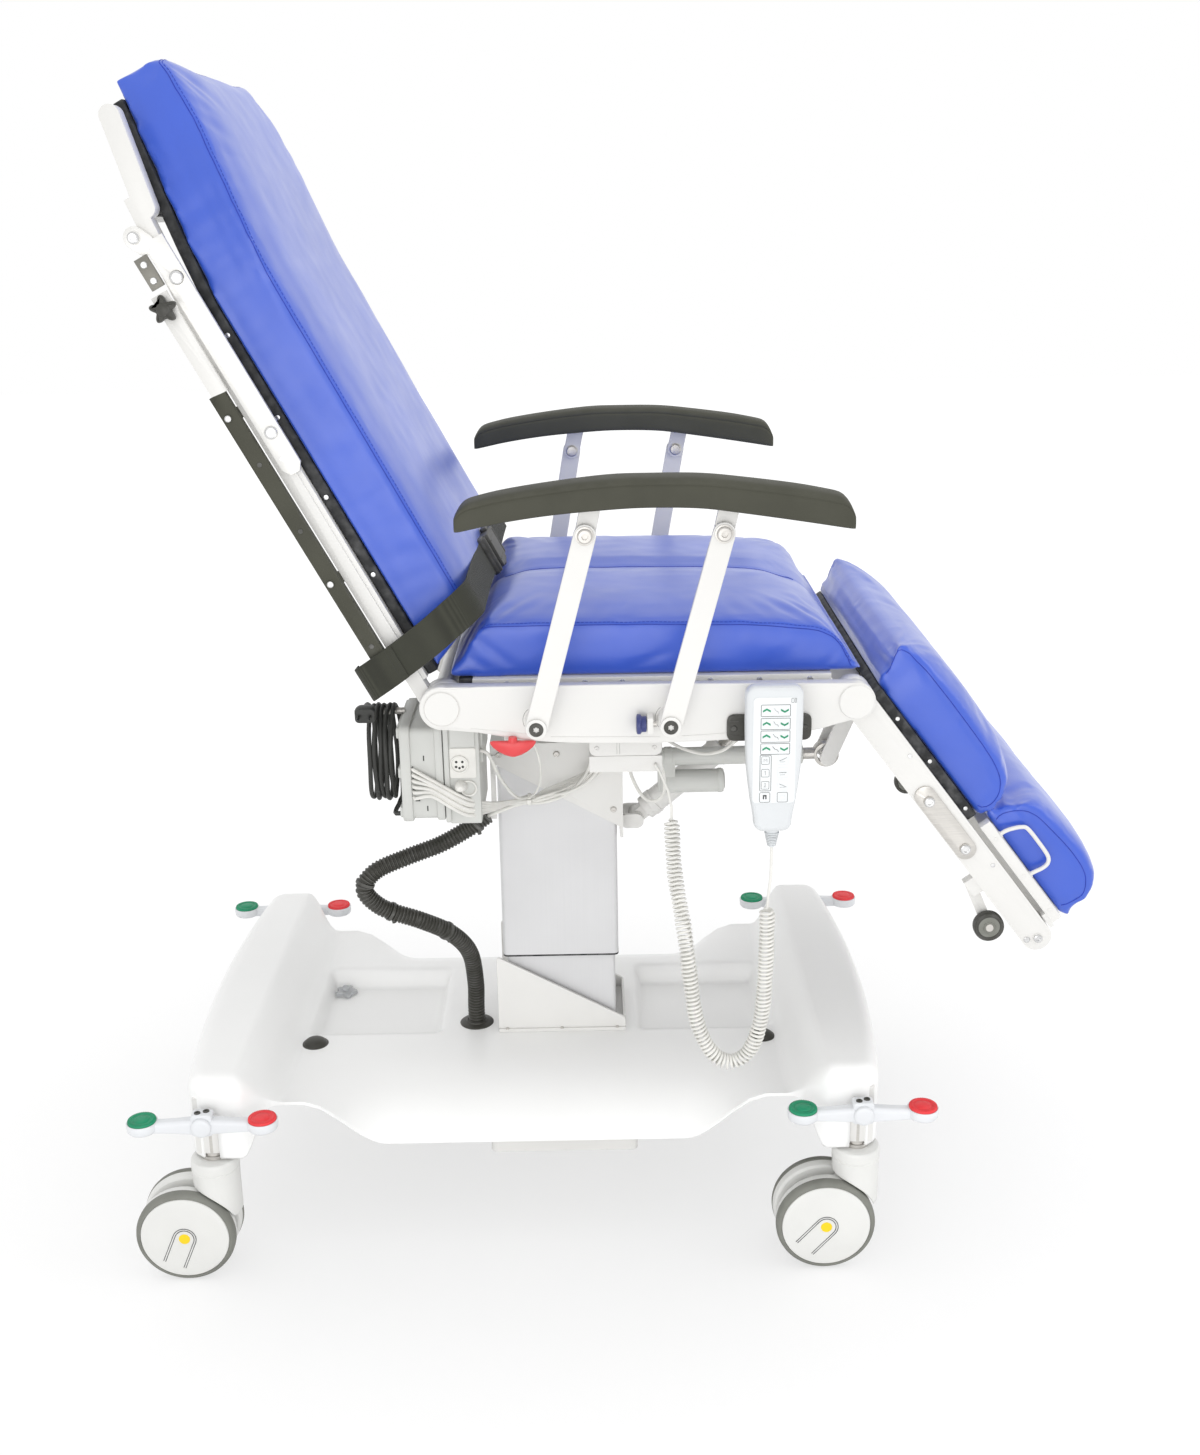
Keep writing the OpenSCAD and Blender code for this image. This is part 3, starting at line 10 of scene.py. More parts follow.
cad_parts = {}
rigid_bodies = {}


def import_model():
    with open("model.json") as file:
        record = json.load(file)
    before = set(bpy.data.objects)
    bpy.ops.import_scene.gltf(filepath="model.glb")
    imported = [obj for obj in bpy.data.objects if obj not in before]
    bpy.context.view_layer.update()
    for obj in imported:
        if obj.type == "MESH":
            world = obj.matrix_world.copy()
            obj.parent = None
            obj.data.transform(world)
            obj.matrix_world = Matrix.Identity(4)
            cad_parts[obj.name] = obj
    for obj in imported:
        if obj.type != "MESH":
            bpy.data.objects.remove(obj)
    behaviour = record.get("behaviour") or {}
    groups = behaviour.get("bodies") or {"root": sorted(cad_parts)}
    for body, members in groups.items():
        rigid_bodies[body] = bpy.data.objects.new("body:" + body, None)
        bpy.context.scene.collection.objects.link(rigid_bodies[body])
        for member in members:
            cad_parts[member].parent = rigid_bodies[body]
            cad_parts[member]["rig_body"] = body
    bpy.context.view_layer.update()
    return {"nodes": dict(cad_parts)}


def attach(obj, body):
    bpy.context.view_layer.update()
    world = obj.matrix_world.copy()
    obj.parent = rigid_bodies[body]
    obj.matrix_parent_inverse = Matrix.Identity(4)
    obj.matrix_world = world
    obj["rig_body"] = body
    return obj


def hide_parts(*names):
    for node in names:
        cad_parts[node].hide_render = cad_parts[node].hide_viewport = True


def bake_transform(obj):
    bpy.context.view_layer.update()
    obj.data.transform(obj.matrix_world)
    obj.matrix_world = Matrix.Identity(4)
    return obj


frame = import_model()
scene = bpy.context.scene
scene.view_settings.view_transform = "Standard"

# Places of the sections, as the source has them
ORIGIN_X = 111.597
BACK_HUB = Vector((-108, 0, 895))
LEG_HUB = Vector((459, 0, 895))
BACK_LEAN = 28
LEG_DROP = 53
METRES = Matrix.Scale(0.001, 4)
BASE = Matrix.Translation((-ORIGIN_X, 0, 0))
BACK = BASE @ Matrix.Translation(BACK_HUB) @ Matrix.Rotation(radians(-BACK_LEAN), 4, "Y")
LEG = BASE @ Matrix.Translation(LEG_HUB) @ Matrix.Rotation(radians(LEG_DROP), 4, "Y")
STEM = (484, 331)
ENDS = {"head": -1, "foot": 1}
SIDES = {"near": -1, "far": 1}
UP = Vector((0, 0, 1))
FOOTWARD = Vector((1, 0, 0))
FAR = Vector((0, 1, 0))
NEAR = Vector((0, -1, 0))


# Numbers and outlines

def clamp(t):
    return min(1.0, max(0.0, t))


def smooth(a, b, t):
    u = clamp((t - a) / (b - a))
    return u * u * (3 - 2 * u)


def mix(a, b, t):
    return a + (b - a) * t


def arc(x, z, r, start, end, n=12):
    """Points of an arc, angles in degrees."""
    return [(x + r * cos(radians(mix(start, end, i / n))), z + r * sin(radians(mix(start, end, i / n))))
        for i in range(n + 1)]


def circle(n):
    """Cosines and sines of n equal steps round a circle."""
    return [(cos(2 * pi * k / n), sin(2 * pi * k / n)) for k in range(n)]


def link(a, b, r, n=14):
    """The outline of a flat link with round ends."""
    d = degrees(atan2(b[1] - a[1], b[0] - a[0]))
    return arc(a[0], a[1], r, d + 90, d + 270, n) + arc(b[0], b[1], r, d - 90, d + 90, n)


def fillet(outline, r, n=4):
    """Rounds the corners of an outline; r is one radius or one for each corner."""
    out = []
    count = len(outline)
    for i, corner in enumerate(outline):
        c = Vector(corner)
        a = Vector(outline[i - 1]) - c
        b = Vector(outline[(i + 1) % count]) - c
        radius = r[i] if isinstance(r, (list, tuple)) else r
        reach = min(radius, a.length * 0.49, b.length * 0.49)
        if reach < 0.01:
            out.append(tuple(c))
            continue
        p, q = c + a.normalized() * reach, c + b.normalized() * reach
        for k in range(n + 1):
            t = k / n
            out.append(tuple((1 - t) ** 2 * p + 2 * t * (1 - t) * c + t * t * q))
    return out


def rectangle(x0, z0, x1, z1, r=0.0, n=4):
    corners = [(x0, z0), (x1, z0), (x1, z1), (x0, z1)]
    return fillet(corners, r, n) if r else corners


def inset(points, d):
    """The outline moved inwards, each point along its own normal."""
    following = points[1:] + points[:1]
    area = sum(a[0] * b[1] - b[0] * a[1] for a, b in zip(points, following))
    way = d if area > 0 else -d
    out = []
    for i, (x, z) in enumerate(points):
        t = (Vector(following[i]) - Vector(points[i - 1])).normalized()
        out.append((x - way * t.y, z + way * t.x))
    return out


def bend(a, b, c, d, steps):
    """Points of a smooth curve from b up to c, led by the neighbours a and d."""
    out = []
    for s in range(steps):
        t = s / steps
        out.append(0.5 * (2 * b + (c - a) * t + (2 * a - 5 * b + 4 * c - d) * t * t
                          + (3 * b - 3 * c + d - a) * t * t * t))
    return out


def spline(points, steps):
    """A smooth curve through given points."""
    p = [Vector(q) for q in points]
    last = len(p) - 1
    out = []
    for i in range(last):
        out += bend(p[max(i - 1, 0)], p[i], p[i + 1], p[min(i + 2, last)], steps)
    return out + [p[-1]]


def closed_spline(points, steps):
    p = [Vector(q) for q in points]
    n = len(p)
    return [q for i in range(n) for q in bend(p[i - 1], p[i], p[(i + 1) % n], p[(i + 2) % n], steps)]


def even(points, count):
    """Points at equal steps along a curve."""
    total = [0.0]
    for a, b in zip(points, points[1:]):
        total.append(total[-1] + (b - a).length)
    out = []
    i = 1
    for k in range(count + 1):
        s = total[-1] * k / count
        while i < len(points) - 1 and total[i] < s:
            i += 1
        out.append(points[i - 1].lerp(points[i], clamp((s - total[i - 1]) / (total[i] - total[i - 1]))))
    return out


def carried(points):
    """Tangents and side directions along a route, without twist."""
    n = len(points)
    tangents = [(points[min(i + 1, n - 1)] - points[max(i - 1, 0)]).normalized() for i in range(n)]
    first = tangents[0].cross(FOOTWARD if abs(tangents[0].z) > 0.8 else UP)
    sides = [first.normalized()]
    for t in tangents[1:]:
        s = sides[-1]
        sides.append((s - s.dot(t) * t).normalized())
    return tangents, sides


def length_of(points):
    return sum((b - a).length for a, b in zip(points, points[1:]))


def eased(edge, t):
    """Steps of inset and height that round both edges of a plate of thickness t."""
    s = edge * 0.3
    return [(edge + 1, 0), (edge, 0), (s, s), (0, edge), (0, t - edge), (s, t - s), (edge, t), (edge + 1, t)]


class Shape:
    """Closed forms gathered into one mesh, drawn in millimetres. paint picks the finish for what follows."""

    def __init__(self):
        self.points = []
        self.faces = []
        self.marks = []
        self.mark = 0

    def paint(self, mark):
        self.mark = mark
        return self

    def add(self, points, faces):
        n = len(self.points)
        self.points += [Vector(p) for p in points]
        self.faces += [[n + i for i in f] for f in faces]
        self.marks += [self.mark] * len(faces)
        return self

    def loft(self, rings, loop=False):
        n = len(rings[0])
        m = len(rings)
        faces = [[i * n + j, (i + 1) % m * n + j, (i + 1) % m * n + (j + 1) % n, i * n + (j + 1) % n]
            for i in range(m if loop else m - 1) for j in range(n)]
        if not loop:
            faces += [list(range(n))[::-1], [(m - 1) * n + j for j in range(n)]]
        return self.add([p for r in rings for p in r], faces)

    def side(self, outline, y0, y1):
        """A side view in X and Z, given its thickness."""
        return self.loft([[(x, y, z) for x, z in outline] for y in (y0, y1)])

    def plan(self, outline, z0, z1):
        return self.loft([[(x, y, z) for x, y in outline] for z in (z0, z1)])

    def box(self, a, b):
        return self.plan(rectangle(a[0], a[1], b[0], b[1]), a[2], b[2])

    def plate(self, outline, y0, y1, edge=1.4):
        """A thick plate along Y with rounded edges."""
        return self.loft([[(x, y0 + h, z) for x, z in inset(outline, e)] for e, h in eased(edge, y1 - y0)])

    def slab(self, x0, x1, low, high, r=10, edge=1.6, n=6, skip=0):
        """A block with round corners in its Y and Z outline and eased ends along X."""
        outline = rectangle(*low, *high, r, n)
        levels = eased(edge, x1 - x0)[skip:]
        return self.loft([[(x0 + h, y, z) for y, z in inset(outline, e)] for e, h in levels])

    def lathe(self, profile, at, axis=UP, n=32, loop=False):
        """Turns points (radius, height) about an axis."""
        w = Vector(axis).normalized()
        u = w.cross(UP if abs(w.z) < 0.8 else FOOTWARD).normalized()
        v = w.cross(u)
        at = Vector(at)
        return self.loft([[at + w * h + r * (c * u + s * v) for c, s in circle(n)] for r, h in profile], loop)

    def stud(self, at, axis, r, top, low, high, n=16):
        """A rivet head: radius r at its foot, top at height low, and high in the middle."""
        return self.lathe([(0, 0), (r, 0), (top, low), (0, high)], at, axis, n)

    def tube(self, path, r, n=12, squash=1.0):
        path = [Vector(p) for p in path]
        tangents, sides = carried(path)
        radii = r if isinstance(r, list) else [r] * len(path)
        rings = []
        for p, t, a, q in zip(path, tangents, sides, radii):
            b = t.cross(a)
            rings.append([p + q * (c * a + squash * s * b) for c, s in circle(n)])
        return self.loft(rings)

    def bolt(self, at, axis, r, h, socket=0.42):
        """A button head with a socket in it."""
        s = r * socket
        return self.lathe([(0, h * 0.3), (s, h * 0.3), (s, h * 0.98), (r * 0.72, h), (r * 0.95, h * 0.72),
            (r, h * 0.35), (r, -1), (0, -1)], at, axis, 24)

    def pin(self, x, z, r, y0, y1, edge=0.8):
        """A bar along Y with eased ends."""
        t = y1 - y0
        return self.lathe([(0, 0), (r - edge, 0), (r, edge), (r, t - edge), (r - edge, t), (0, t)],
            (x, y0, z), FAR)

    def both(self):
        """Adds the mirror image across the middle."""
        n = len(self.points)
        self.points += [Vector((p.x, -p.y, p.z)) for p in self.points]
        self.faces += [[n + i for i in reversed(f)] for f in self.faces]
        self.marks += list(self.marks)
        return self

    def flip(self, s):
        """On its own side for -1, and mirrored to the far side for 1."""
        if s > 0:
            self.points = [Vector((p.x, -p.y, p.z)) for p in self.points]
            self.faces = [list(reversed(f)) for f in self.faces]
        return self


# Finishes

def rgb(r, g, b):
    """A colour as it shows on the screen, 0 to 255, in linear light."""
    def one(c):
        c /= 255
        return c / 12.92 if c <= 0.04045 else ((c + 0.055) / 1.055) ** 2.4
    return one(r), one(g), one(b), 1.0


def node(tree, kind, inputs=None, **settings):
    """Adds a node; an input given as a socket is linked, any other is set."""
    made = tree.nodes.new(kind)
    for key, value in settings.items():
        setattr(made, key, value)
    for key, value in (inputs or {}).items():
        join(tree, value, made.inputs[key])
    return made


def join(tree, value, socket):
    if isinstance(value, bpy.types.NodeSocket):
        tree.links.new(value, socket)
    else:
        socket.default_value = value


class Nodes:
    """A short way to write a material."""

    def __init__(self, name):
        self.material = bpy.data.materials.new(name)
        self.material.use_nodes = True
        self.tree = self.material.node_tree
        self.shader = self.tree.nodes["Principled BSDF"]
        self.place = self.new("ShaderNodeTexCoord").outputs["Object"]
        self.height = None

    def new(self, kind, inputs=None, **settings):
        return node(self.tree, kind, inputs, **settings)

    def stretched(self, scale):
        return self.new("ShaderNodeMapping", {"Vector": self.place, "Scale": scale}).outputs[0]

    def noise(self, scale, detail=3.0, stretch=None):
        vector = self.stretched(stretch) if stretch else self.place
        return self.new("ShaderNodeTexNoise", {"Vector": vector, "Scale": scale, "Detail": detail}).outputs[0]

    def cells(self, scale):
        return self.new("ShaderNodeTexVoronoi", {"Vector": self.place, "Scale": scale},
            feature="DISTANCE_TO_EDGE").outputs[0]

    def waves(self, scale, direction):
        return self.new("ShaderNodeTexWave", {"Vector": self.place, "Scale": scale, "Distortion": 0.0},
            bands_direction=direction).outputs["Fac"]

    def span(self, value, low, high, start=0.0, end=1.0):
        return self.new("ShaderNodeMapRange", {"Value": value, "From Min": start, "From Max": end,
            "To Min": low, "To Max": high}).outputs[0]

    def times(self, a, b):
        return self.new("ShaderNodeMath", {0: a, 1: b}, operation="MULTIPLY").outputs[0]

    def blend(self, factor, a, b):
        return self.new("ShaderNodeMix", {0: factor, 6: a, 7: b}, data_type="RGBA").outputs[2]

    def bump(self, height, strength, distance):
        inputs = {"Height": height, "Strength": strength, "Distance": distance}
        if self.height:
            inputs["Normal"] = self.height
        self.height = self.new("ShaderNodeBump", inputs).outputs[0]
        self.tree.links.new(self.height, self.shader.inputs["Normal"])

    def shade(self, colour, rough, **constants):
        join(self.tree, colour, self.shader.inputs["Base Color"])
        join(self.tree, rough, self.shader.inputs["Roughness"])
        for key, value in constants.items():
            self.shader.inputs[key.replace("_", " ")].default_value = value
        return self.material

    def drifting(self, colour, tint, scale):
        """A tint that drifts slowly over the surface."""
        share = self.span(self.noise(scale, 4.0), 0.0, 1.0, 0.35, 0.65)
        return self.blend(share, darker(colour, tint), colour)


def darker(colour, share):
    return tuple(c * share for c in colour[:3]) + (1.0,)


def worn(name, colour, rough, tint=0.9, scale=9.0, grain=900.0, grain_depth=0.00004, wear=0.0, **constants):
    """Paint or moulded plastic: a drifting tint, fine grain in the surface, and rubbed edges."""
    n = Nodes(name)
    shown = n.drifting(colour, tint, scale)
    if wear:
        edge = n.new("ShaderNodeNewGeometry").outputs["Pointiness"]
        rubbed = n.times(n.span(edge, 0.0, 1.0, 0.52, 0.6), n.span(n.noise(60.0), 0.0, wear, 0.4, 0.7))
        shown = n.blend(rubbed, shown, tuple(mix(c, 0.75, 0.5) for c in colour[:3]) + (1.0,))
    n.bump(n.noise(grain, 2.0), 0.35, grain_depth)
    return n.shade(shown, n.span(n.noise(35.0, 5.0), rough * 0.82, min(1.0, rough * 1.2)), **constants)


def brushed(name, colour, rough, stretch, tint=0.82, metallic=1.0):
    """Metal with fine scratches along one direction."""
    n = Nodes(name)
    lines = n.noise(1.0, 2.0, stretch)
    shown = n.blend(n.span(lines, 0.0, 1.0, 0.3, 0.7), darker(colour, tint), colour)
    shown = n.blend(n.span(n.noise(6.0), 0.0, 0.35, 0.4, 0.7), shown, darker(colour, 0.85))
    n.bump(lines, 0.25, 0.00003)
    return n.shade(shown, n.span(lines, rough * 0.8, rough * 1.25, 0.3, 0.7), Metallic=metallic)


def vinyl(name, colour):
    """Upholstery vinyl: a fine leather grain, faint creases and a soft sheen."""
    n = Nodes(name)
    shown = n.drifting(colour, 0.9, 5.0)
    n.bump(n.noise(11.0, 3.0, (1.0, 1.5, 1.0)), 0.14, 0.002)
    n.bump(n.span(n.cells(1500.0), 0.0, 1.0, 0.0, 0.5), 0.3, 0.00006)
    n.bump(n.noise(420.0, 3.0), 0.2, 0.0001)
    rough = n.span(n.noise(22.0, 4.0), 0.3, 0.4, 0.35, 0.65)
    return n.shade(shown, rough, Coat_Weight=0.6, Coat_Roughness=0.34, Coat_IOR=1.5, Specular_IOR_Level=0.6,
        Sheen_Weight=0.25, Sheen_Roughness=0.5, Sheen_Tint=(0.85, 0.88, 1.0, 1.0))


def webbing(name, colour):
    n = Nodes(name)
    rib = n.waves(520.0, "Y")
    weft = n.waves(620.0, "DIAGONAL")
    shown = n.blend(rib, darker(colour, 0.55), colour)
    shown = n.blend(n.span(n.noise(30.0), 0.0, 0.5), shown, darker(colour, 1.5))
    n.bump(rib, 0.7, 0.0003)
    n.bump(weft, 0.5, 0.0002)
    rough = n.span(weft, 0.62, 0.85)
    return n.shade(shown, rough, Sheen_Weight=0.1, Sheen_Roughness=0.5, Specular_IOR_Level=0.3)


def clear(name, colour):
    n = Nodes(name)
    n.bump(n.noise(120.0), 0.2, 0.0002)
    return n.shade(colour, n.span(n.noise(40.0), 0.08, 0.18), Transmission_Weight=0.55, IOR=1.46)


MATTE = {"Specular_IOR_Level": 0.35}
GLOSS = {"Coat_Weight": 0.25, "Coat_Roughness": 0.2}
FINISH = {
    "cover_white": worn("moulded_cover", rgb(248, 248, 247), 0.42, 0.98, 4.0, 260.0, 0.00012, **GLOSS),
    "frame_white": worn("white_powder_coat", rgb(227, 226, 223), 0.4, 0.965, 7.0, 700.0, 0.00007, 0.25,
                        **GLOSS),
    "column_silver": brushed("anodised_column", rgb(216, 216, 217), 0.4, (500.0, 500.0, 3.0), 0.975, 0.15),
    "steel": brushed("satin_steel", rgb(206, 203, 198), 0.36, (60.0, 60.0, 900.0), 0.86, 0.85),
    "vinyl_blue": vinyl("blue_vinyl", rgb(38, 84, 202)),
    "board_black": worn("black_board", rgb(34, 35, 36), 0.55, 0.8, 14.0, 500.0, 0.0001, 0.3, **MATTE),
    "black_plastic": worn("black_plastic", rgb(58, 57, 51), 0.45, 0.8, 16.0, 800.0, 0.00008, 0.25),
    "pad_dark": worn("moulded_arm_skin", rgb(74, 74, 64), 0.6, 0.86, 12.0, 1300.0, 0.00016, 0.2,
                     Specular_IOR_Level=0.24),
    "webbing": webbing("belt_webbing", rgb(56, 57, 48)),
    "wheel_white": worn("wheel_disc", rgb(226, 226, 223), 0.38, 0.96, 12.0, 500.0, 0.00005, **GLOSS),
    "wheel_grey": worn("tyre_rubber", rgb(128, 129, 122), 0.62, 0.86, 25.0, 900.0, 0.00008, 0.2, **MATTE),
    "pedal_grey": worn("pedal_plastic", rgb(226, 228, 231), 0.42, 0.95, 14.0, 600.0, 0.00006, 0.2, **GLOSS),
    "handset_grey": worn("handset_shell", rgb(216, 219, 221), 0.45, 0.96, 16.0, 1100.0, 0.00007, **GLOSS),
    "box_grey": worn("box_plastic", rgb(204, 205, 201), 0.48, 0.94, 12.0, 900.0, 0.0001, 0.15),
    "cord_grey": worn("grey_cable", rgb(232, 231, 226), 0.5, 0.9, 30.0, 900.0, 0.00004),
    "cord_black": worn("black_cable", rgb(52, 53, 50), 0.5, 0.8, 30.0, 900.0, 0.00004),
    "red_plastic": worn("red_plastic", rgb(222, 62, 66), 0.35, 0.88, 20.0, 700.0, 0.00004, 0.15, **GLOSS),
    "navy_plastic": worn("navy_plastic", rgb(44, 54, 118), 0.38, 0.85, 20.0, 700.0, 0.00004, 0.15, **GLOSS),
    "green": worn("green_rubber", rgb(20, 146, 104), 0.5, 0.85, 30.0, 900.0, 0.00006),
    "tread_red": worn("red_rubber", rgb(236, 60, 66), 0.5, 0.88, 30.0, 900.0, 0.00006),
    "yellow": worn("yellow_plug", rgb(250, 214, 10), 0.4, 0.92, 40.0, 600.0, 0.00004),
    "ink": worn("printed_ink", rgb(70, 72, 74), 0.5, 0.9, 60.0, 900.0, 0.00002),
    "film": worn("keypad_film", rgb(228, 231, 232), 0.32, 0.97, 30.0, 1500.0, 0.00002, **GLOSS),
    "sewing": worn("sewn_seam", rgb(42, 66, 178), 0.6, 0.8, 90.0, 1500.0, 0.0001, **MATTE),
    "clear": clear("clear_plastic", rgb(228, 230, 232)),
    "plate_silver": brushed("bright_plate", rgb(236, 235, 232), 0.4, (60.0, 60.0, 900.0), 0.94, 0.35),
    "dark_steel": brushed("dark_steel", rgb(132, 130, 123), 0.42, (60.0, 60.0, 900.0), 0.85, 0.6),
    "chrome": brushed("bright_bolt", rgb(214, 214, 214), 0.25, (300.0, 300.0, 300.0), 0.9),
}


# Pieces

def creased(bm, bevel, angle):
    """Smooth shading, with the edges kept sharp that no bevel will round."""
    for f in bm.faces:
        f.smooth = True
    for e in [] if bevel else bm.edges:
        if len(e.link_faces) == 2 and e.calc_face_angle(0.0) > radians(angle):
            e.smooth = False


def linked(name, mesh, bevel, steps, angle):
    """An object for a mesh, with its edges rounded by bevel millimetres."""
    obj = bpy.data.objects.new(name, mesh)
    scene.collection.objects.link(obj)
    if bevel:
        m = obj.modifiers.new("Edges", "BEVEL")
        m.width = bevel * 0.001
        m.segments = steps
        m.limit_method = "ANGLE"
        m.angle_limit = radians(angle)
        m.harden_normals = True
        m.use_clamp_overlap = True
    return obj


def smoothed(obj, level):
    m = obj.modifiers.new("Smooth", "SUBSURF")
    m.levels = level
    m.render_levels = level


def make(name, shape, finishes, place=BASE, bevel=0.0, steps=2, angle=32.0, level=0):
    """Turns a shape into an object with rounded edges."""
    mesh = bpy.data.meshes.new(name)
    matrix = METRES @ place
    mesh.from_pydata([matrix @ p for p in shape.points], [], shape.faces)
    for finish in [finishes] if isinstance(finishes, str) else finishes:
        mesh.materials.append(FINISH[finish])
    mesh.polygons.foreach_set("material_index", shape.marks)
    bm = bmesh.new()
    bm.from_mesh(mesh)
    bmesh.ops.remove_doubles(bm, verts=bm.verts, dist=0.000002)
    bmesh.ops.dissolve_degenerate(bm, edges=bm.edges, dist=0.0000005)
    bmesh.ops.recalc_face_normals(bm, faces=bm.faces)
    creased(bm, bevel, angle)
    bm.to_mesh(mesh)
    bm.free()
    obj = linked(name, mesh, bevel, steps, angle)
    if level:
        smoothed(obj, level)
    return obj


def piece(name, shape, body, slot, replaces=(), finishes=None, **how):
    """A piece that rides on a body and takes its finish from a slot."""
    obj = make(name, shape, finishes or slot, **how)
    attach(obj, body)
    if replaces:
        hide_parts(*([replaces] if isinstance(replaces, str) else replaces))
    return obj


def cord(name, path, diameter, body="seat", slot="cord_grey", replaces=(), far_end="object",
        stiffness="limp", lay="loose", sides=8, **facts):
    """A cable as a tube along its own route."""
    path = [Vector(p) for p in path]
    obj = make(name, Shape().tube(path, diameter / 2, sides), slot)
    if isinstance(body, str):
        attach(obj, body)
    else:
        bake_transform(obj)
    if replaces:
        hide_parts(replaces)


def run(points, count, steps=10):
    """An even route through given points."""
    return even(spline(points, steps), count)


# Camera

# Fitted to the photograph: its size and focal length in pixels, and the angles
PHOTO = (1200, 1455)
FOCAL = 1582.26
PITCH, YAW, ROLL = radians(17.847), radians(0.2), radians(-0.947)
EYE = Vector((100.6, -2410.9, 1529.5))
SENSOR = 36.0

forward = Vector((sin(YAW) * cos(PITCH), cos(YAW) * cos(PITCH), -sin(PITCH)))
level = Vector((cos(YAW), -sin(YAW), 0))
upright = level.cross(forward)
right = cos(ROLL) * level + sin(ROLL) * upright
up = -sin(ROLL) * level + cos(ROLL) * upright
camera = bpy.data.objects.new("camera", bpy.data.cameras.new("camera"))
camera.data.sensor_width = SENSOR
camera.data.lens = FOCAL * SENSOR / max(PHOTO)
camera.data.clip_end = 50.0
turn = Matrix((right, up, -forward)).transposed().to_4x4()
camera.matrix_world = Matrix.Translation(METRES @ BASE @ EYE) @ turn
scene.collection.objects.link(camera)
scene.camera = camera


# Floor, backdrop and lights

WHITE = (1, 1, 1, 1)
world = bpy.data.worlds.new("studio")
world.use_nodes = True
scene.world = world
backdrop = world.node_tree.nodes["Background"]
backdrop.inputs["Color"].default_value = WHITE
backdrop.inputs["Strength"].default_value = 1.0


def seen_directly(tree):
    """1 for rays that show the floor to the camera, straight, in a reflection or through a clear part."""
    rays = node(tree, "ShaderNodeLightPath").outputs
    total = rays["Is Camera Ray"]
    for name in ("Is Glossy Ray", "Is Transmission Ray"):
        total = node(tree, "ShaderNodeMath", {0: total, 1: rays[name]}, operation="MAXIMUM").outputs[0]
    return total


# The floor glows more the further it lies from the middle, so that it runs into the white backdrop
floor_mesh = bpy.data.meshes.new("floor")
floor_mesh.from_pydata([(-9, -5, 0), (9, -5, 0), (9, 13, 0), (-9, 13, 0)], [], [(0, 1, 2, 3)])
floor = bpy.data.objects.new("floor", floor_mesh)
scene.collection.objects.link(floor)
pale = bpy.data.materials.new("pale_floor")
pale.use_nodes = True
tree = pale.node_tree
tree.nodes.remove(tree.nodes["Principled BSDF"])
around = node(tree, "ShaderNodeBsdfDiffuse", {"Color": (0.85, 0.85, 0.85, 1)}).outputs[0]
shown = node(tree, "ShaderNodeBsdfDiffuse", {"Color": (0.36, 0.36, 0.36, 1)}).outputs[0]
spot = node(tree, "ShaderNodeTexCoord").outputs["Object"]
reach = node(tree, "ShaderNodeVectorMath", {0: spot}, operation="LENGTH").outputs["Value"]
strength = node(tree, "ShaderNodeMapRange", {"Value": reach, "From Min": 0.5, "From Max": 2.2, "To Min": 0.6,
    "To Max": 0.75}).outputs["Result"]
glow = node(tree, "ShaderNodeEmission", {"Color": WHITE, "Strength": strength}).outputs[0]
bright = node(tree, "ShaderNodeAddShader", {0: shown, 1: glow}).outputs[0]
either = node(tree, "ShaderNodeMixShader", {0: seen_directly(tree), 1: around, 2: bright}).outputs[0]
tree.links.new(either, tree.nodes["Material Output"].inputs["Surface"])
floor_mesh.materials.append(pale)


def softbox(name, place, target, size, power):
    light = bpy.data.lights.new(name, "AREA")
    light.shape = "SQUARE"
    light.size = size
    light.energy = power
    obj = bpy.data.objects.new(name, light)
    obj.location = place
    obj.visible_camera = False
    obj.rotation_euler = (Vector(target) - Vector(place)).to_track_quat("-Z", "Y").to_euler()
    scene.collection.objects.link(obj)


softbox("overhead", (0.1, -0.5, 3.4), (0, 0, 0.9), 2.2, 4.0)
softbox("foot_end", (3.2, -0.6, 2.6), (0, 0, 0.9), 1.8, 17.0)
softbox("front_fill", (-0.6, -3.6, 1.1), (0, 0, 0.4), 2.0, 24.0)
softbox("base_fill", (0.45, -1.7, 0.28), (0.25, 0, 0.25), 1.1, 2.2)


# Free cords, along the routes the source has

CURLS = 104
CURL_R = 9.4
PER_TURN = 12
# In metres: where a cord starts to follow the body at its far end, and where it moves fully with it
HANGING = (0.143403, -0.386, 0.39), (0.223403, -0.388, 0.39)
turns = even(spline([(208, -302, 712), (211, -330, 640), (222, -362, 570), (230, -376, 500),
    (240, -383, 430), (262, -385, 382), (290, -386, 368), (316, -387, 388), (331, -388, 440),
    (336, -388, 520), (337, -388, 610)], 30), CURLS * PER_TURN)
ways, aside = carried(turns)
curls = []
for i, p in enumerate(turns):
    a = 2 * pi * i / PER_TURN
    grow = min(1.0, i / PER_TURN, (len(turns) - 1 - i) / PER_TURN)
    wave = 1 + 0.035 * sin(i * 0.047) + 0.02 * sin(i * 0.131 + 1)
    curls.append(p + CURL_R * wave * grow * (cos(a) * aside[i] + sin(a) * ways[i].cross(aside[i])))
cord("handset_curly_cord", [(186, -280.4, 788), (186, -286, 788), (192, -291, 779), (203, -299, 754),
    (208, -302, 730), *curls, (338, -388, 628), (341, -387, 656), (341.5, -385.6, 684), (341.5, -385.2, 697),
    (341.5, -385, 703.5)], 3.9, ("seat", "handset_body", *HANGING), replaces="handset_cord", lay="hanging")

